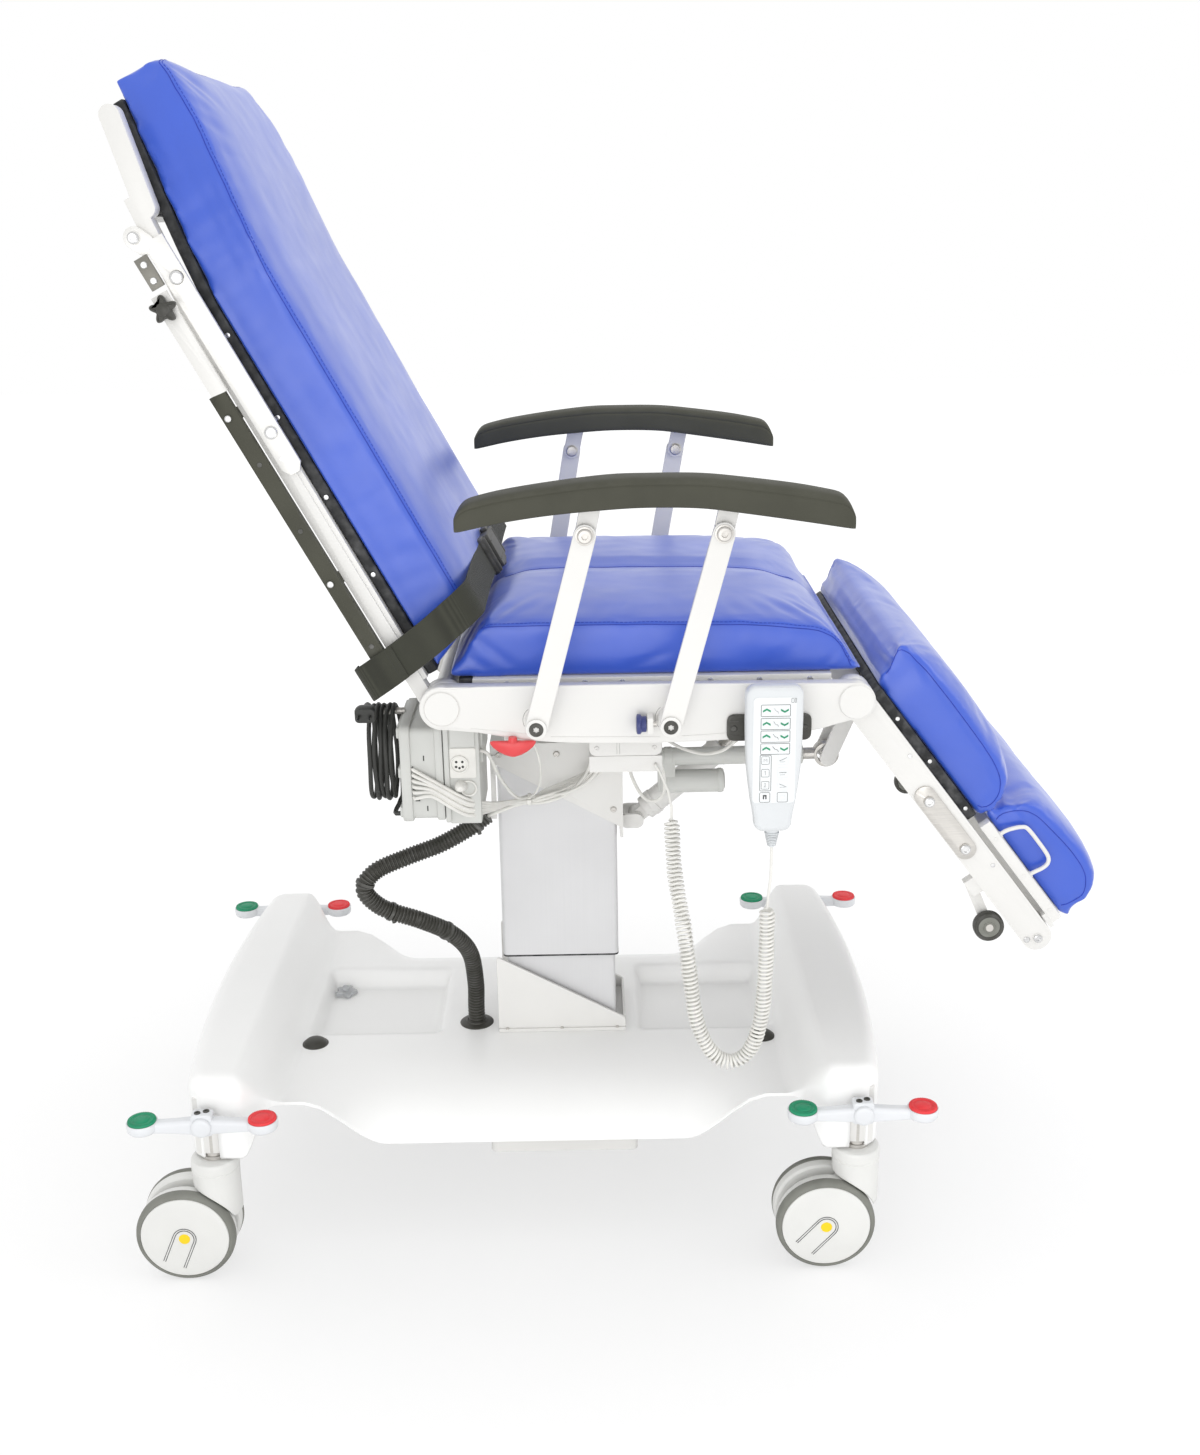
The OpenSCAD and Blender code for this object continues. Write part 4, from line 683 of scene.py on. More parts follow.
# The mains lead lies in 5.5 turns on its hook, with its plug beside it
PLUG_X, PLUG_Z = -224, 865
HOOK_Y, HOOK_Z = -185, 844.3
hank = []
for k in range(int(5.5 * 30) + 1):
    a = radians(-90 + 12 * k)
    t = k / 30
    hank.append(Vector((-190 - 7.9 * t + 1.0 * sin(2.3 * t + 3 * a),
        HOOK_Y + (50 + 1.6 * sin(4.1 * t)) * cos(a), 782 + (70.5 + 1.5 * cos(3.3 * t)) * sin(a))))
plug = Shape()
plug.lathe([(0, 0), (4.4, 0), (4.8, 2), (4.1, 3), (5.1, 5), (4.4, 6), (5.5, 8), (5.2, 9), (7.5, 10.5),
    (0, 10.5)], (PLUG_X, -239.4, PLUG_Z), NEAR, 20)
plug.loft([[(PLUG_X + w * cx, y, PLUG_Z + h * cz) for cx, cz in rectangle(-1, -1, 1, 1, 0.5)]
    for w, h, y in ((9, 7, -249), (13, 10, -253), (14.6, 11, -262), (14.8, 11, -272), (13.6, 10, -276.8),
    (11.5, 8.6, -277.4))])
for x in (-8, 8):
    plug.lathe([(0, 0), (2.1, 0), (2.1, 18), (1.5, 20), (0, 20.2)], (PLUG_X + x, -277, PLUG_Z), NEAR, 14)
plug_piece = piece("plug", plug, "seat", "cord_black", "mains_plug")
cord("mains_cable", [(-184.4, -248, 707), (-191.4, -248, 707), (-193, -243, 707), (-193, -232, 707.5),
    (-191, -215, 708.5), (-190.3, -200, 710), *hank, (-233, -200, 856), (-230, -214, 862), (-226, -224, 865),
    (-224, -231, 865), (-224, -239, 865)], 6.9, slot="cord_black", replaces="mains_hank", far_end="plug",
    stiffness="medium", lay="coiled", sides=10, with_pieces=[plug_piece])

# Ribbed conduit from the base up to the column head
RIBS = 112
conduit_route = [(-70, -95, 643), (-83, -96, 634), (-102, -98, 621), (-144, -106, 600), (-197, -118, 584),
    (-245, -130, 566), (-263, -136, 538), (-237, -130, 504), (-180, -114, 474), (-136, -91, 440),
    (-110, -62, 392), (-104, -43, 330), (-105, -38, 285), (-105, -38, 258), (-105, -38, 246)]
line = run(conduit_route, RIBS * 4, 8)
ribbed = Shape().tube(line, [(14.0, 14.0, 12.1, 12.1)[i % 4] for i in range(len(line))], 18)
ribbed.tube([line[0] - Vector((8, 0, 6)), line[0] - Vector((1, 0, 0.8))], 11, 18)
ways, aside = carried(line)
for share in (0.035, 0.36, 0.475, 0.64):
    i = int(share * (len(line) - 1))
    b = ways[i].cross(aside[i])
    ribbed.loft([[line[i] + ways[i] * h + r * (c * aside[i] + s * b) for c, s in circle(24)]
        for h, r in ((-2.4, 13.2), (-2.4, 15.3), (2.4, 15.3), (2.4, 13.2))], True)
    down = Vector((0.25, -0.35, -0.9)).normalized()
    ribbed.tube([line[i] + down * h for h in (13, 19, 19.5)], [3.2, 3.0, 0.8], 8)
conduit = make("conduit_hose", ribbed, "black_plastic", angle=50)
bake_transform(conduit)
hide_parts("conduit")
middle = spline(conduit_route, 4)

# Cables from the box to the tie under the seat, and from the tie to the drives
CABLE_TOP = 776
TIE = Vector((-2, -121, 678))
LOOM_WAYS = [[(64, -96, 688), (104, -97, 708), (126, -95, 738), (131, -94, CABLE_TOP)],
    [(66, -89, 694), (104, -90, 714), (134, -88, 741), (139, -87, CABLE_TOP)]]
LOOM_WAYS += [[(60 + 4 * k, -104 + 5 * k, 687 + 3 * k), (92 + 5 * k, -100 + 5 * k, 706 + 4 * k),
    (118 + 5 * k, -94 + 2 * k, 736), (124 + 8 * k, -88 + 2 * k, CABLE_TOP)] for k in range(2, 6)]
loom = []
for k, (c, s) in enumerate(circle(6)):
    y = -268 - 2.6 * (k % 2)
    loom.append([(-162.5, -260.5, 779 - 8.6 * k), (-159.5, -265, 779 - 8.6 * k - 0.5),
        (-136, y, 765 - 4.9 * k), (-112, y, 750 - 4.9 * k), (-94, y + 1, 738.5 - 4.9 * k),
        (-80, y + 10, 729 - 4.5 * k), (-54, -218, 709 - 2.2 * k), (-28, -163, 691 - 0.6 * k),
        TIE + Vector((0, 5.4 * c, 5.4 * s)), (20, -112 + 1.5 * k, 677 + 1.6 * k), *LOOM_WAYS[k]])
loom.append([(-66, -244, 800), (-54, -240, 792), (-40, -205, 742), (-22, -155, 696), TIE, (22, -116, 680),
    (58, -113, 686), (90, -113, 704), (114, -112, 738), (118, -111, CABLE_TOP)])
for k, points in enumerate(loom):
    cord(f"loom_cable_{k + 1}", run(points, 110), 5.2, replaces=() if k else "cable_bundle")
cord("loop_cable", run([(150, -150, CABLE_TOP), (150, -152, 760), (154, -160, 730), (170, -172, 700),
    (188, -182, 694), (202, -186, 708), (203, -184, 736), (196, -178, 762), (192, -174, CABLE_TOP)], 70),
    5.2, lay="hanging")
cord("long_cable", run([(196, -170, 790), (206, -172, 788), (230, -178, 776), (262, -188, 770),
    (292, -198, 780), (312, -206, 806), (320, -212, 842), (322, -214, 876)], 70), 5.2, lay="hanging")
for k, (y0, z0, x1) in enumerate(((-91, 646, 96), (-97, 640, 104), (-88, 641, 112))):
    cord(f"conduit_cable_{k + 1}", run([(-80, y0, z0 - 7), (-68, y0, z0 + 2), (-46, y0 - 8, z0 + 14),
        (-16, -118 + 3 * k, 671 - 2 * k), (18, -120, 672 + 5 * k), (58, -112 + 4 * k, 684 + 3 * k),
        (x1 - 6, -104, 720), (x1, -102, CABLE_TOP)], 80), 5.0,
        ("lift", "seat", (-0.175, -0.09, 0.66), (-0.115, -0.12, 0.66)))
tie = Shape()
tie.loft([[TIE + Vector((x, r * c, r * s)) for c, s in circle(20)]
    for x, r in ((-2.6, 8.2), (-2.6, 9.4), (2.6, 9.4), (2.6, 8.2))], True)
tie.box(TIE + Vector((-3.4, -12.5, -3)), TIE + Vector((3.4, -8.6, 3)))
piece("cable_tie", tie, "seat", "cord_grey", bevel=0.5)


# Cushions

VOXEL = 6.0
FRAMES = 20
EULER = 2.718281828


def baked(obj):
    """Applies an object's modifiers to its mesh."""
    bpy.context.view_layer.update()
    ready = obj.evaluated_get(bpy.context.evaluated_depsgraph_get())
    mesh = bpy.data.meshes.new_from_object(ready)
    old = obj.data
    obj.modifiers.clear()
    obj.data = mesh
    bpy.data.meshes.remove(old)
    mesh.name = obj.name


def puffed(obj, pressure, cap, held):
    """Swells the cushion as filled cloth. held gives how firmly each point stays, 0 to 1."""
    before = [v.co.copy() for v in obj.data.vertices]
    group = obj.vertex_groups.new(name="held")
    for i, p in enumerate(before):
        group.add([i], held(p * 1000), "REPLACE")
    m = obj.modifiers.new("Cloth", "CLOTH")
    s = m.settings
    s.quality = 4
    s.mass = 0.3
    s.tension_stiffness = 12
    s.compression_stiffness = 12
    s.shear_stiffness = 6
    s.bending_stiffness = 0.6
    s.use_pressure = True
    s.uniform_pressure_force = pressure
    s.effector_weights.gravity = 0
    s.vertex_group_mass = "held"
    m.collision_settings.use_collision = False
    m.point_cache.frame_start = 1
    m.point_cache.frame_end = FRAMES
    for f in range(1, FRAMES + 1):
        scene.frame_set(f)
    baked(obj)
    scene.frame_set(1)
    obj.vertex_groups.clear()
    for v, p in zip(obj.data.vertices, before):
        step = v.co - p
        far = step.length
        if far > 1e-9:
            limit = cap * 0.001
            v.co = p + step * (limit * (1 - EULER ** (-far / limit)) / far)


def cushion(name, rings, body, place, node_name, held, sculpt, cap):
    """A closed cushion from its rings in section millimetres, swelled, then shaped by sculpt."""
    obj = make(name, Shape().loft(rings), "vinyl_blue", Matrix.Identity(4))
    m = obj.modifiers.new("Remesh", "REMESH")
    m.mode = "VOXEL"
    m.voxel_size = VOXEL * 0.001
    baked(obj)
    puffed(obj, 4.0, cap, held)
    mesh = obj.data
    mesh.transform(METRES.inverted())
    mesh.update()
    normals = [v.normal.copy() for v in mesh.vertices]
    for v, n in zip(mesh.vertices, normals):
        v.co = v.co + sculpt(v.co, n)
    mesh.transform(METRES @ place)
    if not mesh.materials:
        mesh.materials.append(FINISH["vinyl_blue"])
    mesh.update()
    smoothed(obj, 1)
    baked(obj)
    obj.data.polygons.foreach_set("use_smooth", [True] * len(obj.data.polygons))
    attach(obj, body)
    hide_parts(node_name)
    return obj


WIDE = 304
SEAM_R = 0.65
STITCH = 6.0


def seam(name, obj, points, body, place, r=SEAM_R, stitches=True, offset=(0, 0, 0)):
    """A sewn seam that follows the cushion's own surface, with stitches beside it."""
    mesh = obj.data
    tree = BVHTree.FromPolygons([v.co for v in mesh.vertices], [list(p.vertices) for p in mesh.polygons])
    back_to = (METRES @ place).inverted()

    def on_surface(p):
        hit = tree.find_nearest(METRES @ place @ p)
        return back_to @ hit[0], (back_to.to_3x3() @ hit[1]).normalized()

    dense = even(points, max(12, int(length_of(points) / 7)))
    placed = [on_surface(p) for p in dense]
    shape = Shape()
    shape.tube([p + n * 0.15 for p, n in placed], r, 8)
    if stitches:
        line = even([p for p, n in placed], max(6, int(length_of(dense) / STITCH)))
        beside = Vector(offset)
        for a, b in zip(line, line[1:]):
            p, n = on_surface(a + beside)
            q, m = on_surface(a.lerp(b, 0.6) + beside)
            if (q - p).length > 0.5:
                shape.tube([p - n * 0.2, p + n * 0.35, q + m * 0.35, q - m * 0.2], 0.42, 5)
    piece(name, shape, body, "vinyl_blue", finishes="sewing", place=place)


STATIONS = [304, 300, 291, 282, 268, 245, 210, 170, 130, 90, 54, 36, 18, 0]
ACROSS = STATIONS + [-s for s in STATIONS[-2::-1]]


def crown(y):
    e = clamp((WIDE - abs(y)) / 40)
    return 15 * sqrt(1 - (1 - e) ** 2)


def bell(d, width):
    """1 at no distance, falling off to 0 over about two widths."""
    return EULER ** (-(d / width) ** 2)


def flat_cushion(points, dip=0.0):
    """Rings across a cushion whose side view is given, a little smaller than the solid."""
    side = closed_spline(points, 3)
    rings = []
    for y in ACROSS:
        ring = []
        for x, z, up, pull in side:
            up, pull = clamp(up), clamp(pull)
            near = 5 * pull * smooth(WIDE - 40, WIDE, abs(y)) + 1.5 * (abs(y) > 290)
            rise = crown(y) - dip * (1 - smooth(0, 70, abs(y))) - 3
            ring.append(Vector((x, y - (near if y > 0 else -near), z + up * rise)))
        rings.append(ring)
    return rings


def fold(p, a, b, depth, width):
    """A shallow fold between two points, deepest in the middle."""
    a, b = Vector(a), Vector(b)
    t = clamp((p - a).dot(b - a) / (b - a).length_squared)
    d = (p - a - (b - a) * t).length
    return -depth * bell(d, width) * sin(pi * min(1.0, 0.15 + 0.85 * t)) ** 0.5


def ripple(p, scale, seed):
    return noise.noise(Vector((p.x, p.y, p.z)) / scale + Vector((seed, seed * 0.7, 0)))


# Side views: X and Z, then how far the crown lifts a point and how far the sides draw it in
SEAT_FLOOR = 925.4
seat_points = [(-93, SEAT_FLOOR, 0, 0.7), (60, SEAT_FLOOR, 0, 1), (250, SEAT_FLOOR, 0, 1),
    (462, SEAT_FLOOR, 0, 0.6), (467, SEAT_FLOOR + 9, 0, 0.4), (450, 962, 0.3, 0.3), (428, 984, 0.7, 0),
    (392, 993, 0.9, 0), (300, 999, 1, 0), (150, 1002, 1, 0), (20, 1002, 1, 0), (-34, 1001, 1, 0),
    (-54, 995, 0.7, 0), (-68, 978, 0.2, 0.3), (-84, 950, 0, 0.8)]
SEAT_FOLDS = [(-62, 984, -10, 940, 2.4, 7), (-76, 958, -44, 936, 2.0, 6), (150, 936, 214, 962, 1.8, 8),
    (338, 934, 392, 972, 1.6, 8), (420, 934, 446, 966, 1.5, 6)]


def seat_welt(x):
    return 999 - 3 * smooth(150, 300, x) - 10 * smooth(300, 428, x) - 10 * smooth(400, 450, x)


def seat_held(p):
    if p.z < SEAT_FLOOR + 3:
        return 1.0
    if abs(p.y) > 296 and abs(p.z - seat_welt(p.x)) < 5:
        return 0.75
    return 0.25 if p.z < SEAT_FLOOR + 14 else 0.0


def seat_sculpt(p, n):
    move = -3.5 * smooth(438, 458, p.x)
    if p.z < SEAT_FLOOR + 1.5:
        return Vector((0, 0, SEAT_FLOOR - p.z))
    s = abs(p.y)
    if s > 288:
        for x0, z0, x1, z1, depth, width in SEAT_FOLDS:
            move += fold(Vector((p.x, 0, p.z)), (x0, 0, z0), (x1, 0, z1), depth, width)
        near = abs(p.z - seat_welt(p.x))
        move -= 1.3 * bell(near, 4.5)
        move += 0.9 * ripple(p, 26, 3) * smooth(60, 10, near)
    if n.z > 0.5:
        move -= 1.6 * bell(p.y, 7.0)
        move += 1.6 * ripple(p, 120, 5) + 0.5 * ripple(p, 34, 9)
        edge = WIDE - s
        move += 0.495 * sin(p.x / 9.0 + 2 * ripple(p, 60, 2)) * smooth(46, 12, edge) * smooth(0, 10, edge)
    return n * move


seat_pad = cushion("seat_pad", flat_cushion(seat_points, 6.0), "seat", BASE, "seat_cushion", seat_held,
    seat_sculpt, 7)
for side_name, s in SIDES.items():
    line = [Vector((x, s * WIDE, seat_welt(x))) for x in range(-56, 420, 12)]
    line += [Vector((x, s * WIDE, z)) for x, z in ((432, 976), (444, 962), (454, 944), (459, 930))]
    seam(f"seat_seam_{side_name}", seat_pad, line, "seat", BASE, offset=(0, 0, 4.5))
seam("seat_channel", seat_pad, [Vector((x, 0, 1020)) for x in range(-40, 436, 12)], "seat", BASE, 0.6, False)

# Up the back: height above its lower end, and the share of the full thickness there
BACK_STEPS = [(0, 1), (14, 1), (30, 1), (60, 1), (130, 1), (200, 1), (290, 1), (380, 1), (470, 1), (560, 1),
    (620, 1), (680, 1), (725, 0.99), (760, 0.965), (790, 0.93), (815, 0.885), (830, 0.84), (840, 0.79),
    (846, 0.72), (849, 0.56)]
BACK_THICK = 80


def back_half(u):
    return WIDE - 62 * smooth(610, 1010, u) - 3 * smooth(860, 882, u)


def back_floor(u):
    """The cushion's back face, which leans forward above 600."""
    return 15.4 + max(0.0, u - 600) * tan(radians(5))


def back_welt(u):
    return back_floor(u) + BACK_THICK * (1 - 0.03 * smooth(680, 806, u) - 0.09 * smooth(800, 860, u)) - 3


def back_ring(step, share):
    u = 46 + step
    h = back_half(u) - 1.5
    slant = 0.47 * (1 - smooth(0, 130, step))
    v0 = back_floor(u)

    def side(sign, parts):
        return [Vector((v0 + BACK_THICK * share * part, sign * (h - 5 * (1 - abs(part - 0.5))),
            u + slant * BACK_THICK * part)) for part in parts]

    ring = []
    for y in ACROSS:
        t = (BACK_THICK + crown(y) - 3) * share
        ring.append(Vector((v0 + t, y * h / WIDE, u + slant * t)))
    ring += side(-1, (0.75, 0.5, 0.25))
    ring += [Vector((v0, y, u)) for y in (2 - h, -h / 2, 0, h / 2, h - 2)]
    return ring + side(1, (0.25, 0.5, 0.75))


def back_held(p):
    v0 = back_floor(p.z)
    if p.x < v0 + 3:
        return 1.0
    if abs(abs(p.y) - back_half(p.z)) < 9 and abs(p.x - back_welt(p.z)) < 5:
        return 0.75
    return 0.25 if p.x < v0 + 14 else 0.0


def back_sculpt(p, n):
    v0 = back_floor(p.z)
    if p.x < v0 + 1.5:
        return Vector((v0 - p.x, 0, 0))
    move = 0.0
    if back_half(p.z) - abs(p.y) < 16:
        near = abs(p.x - back_welt(p.z))
        move -= 1.2 * bell(near, 4.5)
        move += 0.8 * ripple(p, 30, 4) * smooth(60, 10, near)
        move += 0.7 * ripple(Vector((p.x * 0.3, 0, p.z)), 16, 8)
    if n.x > 0.5:
        move += 2.0 * ripple(p, 150, 6) + 0.5 * ripple(p, 40, 12)
    return n * move


back_pad = cushion("back_pad", [back_ring(*s) for s in BACK_STEPS], "back", BACK, "back_cushion", back_held,
    back_sculpt, 7)
line = [Vector((back_welt(u), -back_half(u), u)) for u in range(96, 870, 14)]
line += [Vector((back_welt(872) - 3, -back_half(872) + k, 890)) for k in range(6, 250, 16)]
line += [Vector((p.x, -p.y, p.z)) for p in reversed(line)]
seam("back_seam", back_pad, line, "back", BACK, offset=(4.5, 0, 0))

LEG_FLOOR = 36.9
leg_points = [(16, LEG_FLOOR, 0, 0.7), (140, LEG_FLOOR, 0, 1), (258, LEG_FLOOR, 0, 0.7), (268, 46, 0, 0.5),
    (270, 68, 0, 0.3), (254, 94, 0.5, 0.2), (228, 106, 0.8, 0), (190, 111, 1, 0), (100, 112, 1, 0),
    (30, 109, 0.9, 0), (0, 104, 0.6, 0), (-13, 97, 0.3, 0), (-17, 86, 0.1, 0.1), (0, 64, 0, 0.4)]
leg_welt = [(6, 52), (2, 66), (-8, 82), (-6, 91), (14, 98), (60, 101), (120, 102), (190, 101), (222, 97),
    (246, 87), (259, 68), (258, 52), (250, 43)]
FOOT_FLOOR = 47
foot_points = [(276, FOOT_FLOOR, 0, 0.6), (463, FOOT_FLOOR, 0, 0.6), (469, 66, 0, 0.6), (468, 92, 0, 0.5),
    (452, 111, 0.8, 0), (424, 121, 0.8, 0), (384, 122, 0.8, 0), (308, 111, 0.8, 0), (284, 92, 0.02, 0.6),
    (273, 66, 0, 0.6)]
foot_welt = [(284, 54), (282, 66), (291, 86), (310, 101), (340, 107), (384, 112), (424, 111), (446, 102),
    (459, 88), (459, 66), (455, 54)]


def welt_near(p, outline):
    best = 1e9
    for (x0, z0), (x1, z1) in zip(outline, outline[1:]):
        dx, dz = x1 - x0, z1 - z0
        t = clamp(((p.x - x0) * dx + (p.z - z0) * dz) / (dx * dx + dz * dz))
        best = min(best, hypot(p.x - x0 - dx * t, p.z - z0 - dz * t))
    return best


def rolled(outline, low):
    """Held and shaped points of a cushion with a welt seam round its side panel."""
    def held(p):
        if p.z < low + 3:
            return 1.0
        if abs(p.y) > 296 and welt_near(p, outline) < 5:
            return 0.75
        return 0.0

    def sculpt(p, n):
        if p.z < low + 1.5:
            return Vector((0, 0, low - p.z))
        move = -4.0 * (1 - smooth(18, 60, p.x))
        near = welt_near(p, outline)
        if abs(p.y) > 280:
            around = atan2(p.z - low - 35, p.x - sum(x for x, z in outline) / len(outline))
            gather = sin(around * 26 + 3 * ripple(p, 40, 3)) * (0.5 + 0.5 * ripple(p, 50, 7))
            move += 0.9 * gather * bell(near, 13) - 1.2 * bell(near, 4.5)
        move += 1.2 * ripple(p, 110, 2) + 0.45 * ripple(p, 32, 11)
        return n * move
    return held, sculpt


LOWER = {"leg": (leg_points, leg_welt, LEG_FLOOR), "foot": (foot_points, foot_welt, FOOT_FLOOR)}
for name, (points, outline, low) in LOWER.items():
    held, sculpt = rolled(outline, low)
    made = cushion(f"{name}_pad", flat_cushion(points), name, LEG, f"{name}_cushion", held, sculpt, 6)
    for side_name, s in SIDES.items():
        line = spline([(x, s * WIDE, z) for x, z in outline], 6)
        seam(f"{name}_pad_seam_{side_name}", made, line, name, LEG)


# Pieces that keep the solid's shape, with eased edges

def dressed(name, finishes, bevel=0.8, mark=None, cut=None):
    """A copy of a node's shape with rounded edges; mark picks the finish from a face's middle."""
    source = frame["nodes"][name]
    finishes = [finishes] if isinstance(finishes, str) else finishes
    mesh = source.data.copy()
    mesh.materials.clear()
    for finish in finishes:
        mesh.materials.append(FINISH[finish])
    bm = bmesh.new()
    bm.from_mesh(mesh)
    bmesh.ops.remove_doubles(bm, verts=bm.verts, dist=0.000004)
    bmesh.ops.dissolve_limit(bm, angle_limit=radians(0.8), verts=bm.verts, edges=bm.edges)
    if cut:
        way = METRES @ cut[0]
        bmesh.ops.bisect_plane(bm, geom=bm.verts[:] + bm.edges[:] + bm.faces[:], dist=0.00001,
            plane_co=way @ Vector((0, 0, cut[1])), plane_no=way.to_3x3() @ UP)
    creased(bm, bevel, 34)
    for f in bm.faces:
        middle = f.calc_center_median() * 1000 + Vector((ORIGIN_X, 0, 0))
        f.material_index = int(mark(middle)) if mark else 0
    bm.to_mesh(mesh)
    bm.free()
    obj = linked(f"{name}_shape", mesh, bevel, 2, 34)
    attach(obj, source["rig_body"])
    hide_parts(name)


# Base cover: a moulded shell whose deck holds two trays

DECK = 252
CORNER = 30
GRID_X = [0, 40, 80, 120, 152, 160, 164, 168, 172, 176, 184, 205, 230, 240, 250, 262, 276, 288, 300, 325,
    350, 368, 372, 376, 380, 384, 393, 402, 408, 414, 420, 426, 432, 438, 444, 450]
REST_X = [0.17, 0.339, 0.45, 0.52, 0.6, 0.68, 0.758, 0.83, 0.89, 0.935, 0.965, 0.985, 0.997, 1]
GRID_Y = [0, 28, 52, 56, 60, 64, 68, 72, 80, 95, 115, 134, 148, 152, 156, 160, 164, 168]
REST_Y = [0.12, 0.25, 0.38, 0.5, 0.6, 0.69, 0.76, 0.81, 0.855, 0.89, 0.92, 0.945, 0.965, 0.982, 0.994, 1]


def cover_half(x):
    return mix(302, 350, smooth(390, 440, abs(x)))


def cover_len(y):
    return 512 + 26 * (1 - (y / 350) ** 2)


def edge_z(x):
    return mix(194, 264, smooth(228, 352, abs(x)))


def low_z(x):
    return mix(edge_z(x) - 6, 198, smooth(404, 436, abs(x)))


def tray(x, y):
    depth = 34 * smooth(160, 176, abs(x)) * (1 - smooth(368, 384, abs(x)))
    return depth * smooth(-72, -56, y) * (1 - smooth(152, 168, y))


def cover_top(x, y):
    w = cover_half(x)
    flat_y = 115 + 50 * smooth(240, 440, abs(x))
    t = clamp((abs(y) - flat_y) / (w - flat_y))
    deck = DECK - (DECK - edge_z(x)) * t ** 3 - tray(x, y)
    f = clamp(1 - min(w - abs(y), cover_len(y) - abs(x)) / 26)
    return mix(deck, 330 - 26 * (1 - sqrt(1 - f * f)), smooth(384, 444, abs(x)))


def cover_grid(i, j):
    a, b = abs(i) - len(GRID_X), abs(j) - len(GRID_Y)
    w = cover_half(GRID_X[a] if a < 0 else mix(450, 512, REST_X[a]))
    y = GRID_Y[b] if b < 0 else mix(168, w, REST_Y[b])
    end = cover_len(y)
    x = GRID_X[a] if a < 0 else mix(450, end, REST_X[a])
    z = cover_top(x, y if j >= 0 else -y)
    corner_x = (x - (end - CORNER)) / CORNER
    corner_y = (y - (w - CORNER)) / CORNER
    if corner_x > 0 and corner_y > 0:
        k = CORNER * max(corner_x, corner_y) / hypot(corner_x, corner_y)
        x = end - CORNER + corner_x * k
        y = w - CORNER + corner_y * k
    return Vector((x if i >= 0 else -x, y if j >= 0 else -y, z))


nx = len(GRID_X) + len(REST_X) - 1
ny = len(GRID_Y) + len(REST_Y) - 1
points = [cover_grid(i, j) for i in range(-nx, nx + 1) for j in range(-ny, ny + 1)]


def cell(i, j):
    return (i + nx) * (2 * ny + 1) + j + ny


faces = [[cell(i, j), cell(i + 1, j), cell(i + 1, j + 1), cell(i, j + 1)] for i in range(-nx, nx)
    for j in range(-ny, ny)]
rim = [(i, -ny) for i in range(-nx, nx)] + [(nx, j) for j in range(-ny, ny)]
rim += [(i, ny) for i in range(nx, -nx, -1)] + [(-nx, j) for j in range(ny, -ny, -1)]
last = [cell(*r) for r in rim]
for share in (0.12, 0.3, 0.49, 0.75, 0.97, 1.0):
    start = len(points)
    for q, r in enumerate(rim):
        p = points[cell(*r)]
        inward = 1.2 if share == 1.0 else 0.0
        flat = Vector((p.x, p.y, 0))
        points.append(Vector((p.x, p.y, mix(p.z, low_z(p.x), share))) - flat.normalized() * inward)
    for q in range(len(rim)):
        r = (q + 1) % len(rim)
        middle = (points[last[q]] + points[last[r]]) / 2
        slot_here = abs(middle.y) > 330 and 472 < abs(middle.x) < 496.5 and share >= 0.49
        if not slot_here:
            faces.append([last[q], last[r], start + r, start + q])
    last = list(range(start, start + len(rim)))
shell = Shape().add(points, faces)
cover = make("base_cover_shell", shell, "cover_white", angle=60)
for e in cover.data.edges:
    e.use_edge_sharp = False
m = cover.modifiers.new("Wall", "SOLIDIFY")
m.thickness = 0.004
m.offset = -1
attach(cover, "base")
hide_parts("base_cover")

dressed("base_frame", ["frame_white", "steel"], bevel=1.2,
        mark=lambda p: hypot(abs(p.x) - STEM[0], abs(p.y) - STEM[1]) < 15 and p.z < 244)
under = Shape().plan(rectangle(-73, -252, 157, 252, 12, 6), 138, 163)
for x in (-20, 44, 108):
    under.box((x - 2, -252.6, 140), (x + 2, -250, 142))
piece("under_tray", under, "base", "frame_white", bevel=2.4)

fittings = Shape()
for x in (-365, 365):
    fittings.lathe([(0, 9.4), (7, 9.0), (13, 7.4), (17, 4.4), (19, 1.6), (20.4, 1.2), (21.4, 0.2),
        (21.4, -1), (0, -1)], (x, -102, DECK), n=40)
fittings.lathe([(14.2, -6), (14.2, 5), (15.4, 6), (17, 5.6), (18, 3.6), (22, 2.6), (26.5, 1.4), (28, 0.2),
    (28, -1.4), (17.5, -1.4), (17.5, -6)], (-105, -38, DECK), n=48, loop=True)
piece("cover_caps", fittings, "base", "black_plastic", "cover_fittings")
star = Shape()
lobes = [17 + 3.4 * c for c, s in circle(8)] * 5
star.loft([[(-351 + k * r * c, 136 + k * r * s, z) for r, (c, s) in zip(lobes, circle(40))]
    for z, k in ((218.4, 0.86), (219.4, 1.0), (225, 1.0), (226.4, 0.9))])
star.lathe([(0, 7.5), (5, 7.5), (6.4, 9), (6.4, 14), (5.6, 15), (0, 15)], (-351, 136, 218.4), n=24)
piece("tray_knob", star, "base", "frame_white", finishes="clear", bevel=0.6)


# Casters and pedals

WHEEL_Z = 75
TRAIL = 47
HOOD_TOP = [(0.5, 194.6), (20, 194.6), (30, 194.4), (33.6, 193.4), (35.4, 191), (36, 187.5), (36, 178.4),
    (35.2, 177.6), (35.2, 176.2), (36, 175.4), (35.6, 168)]


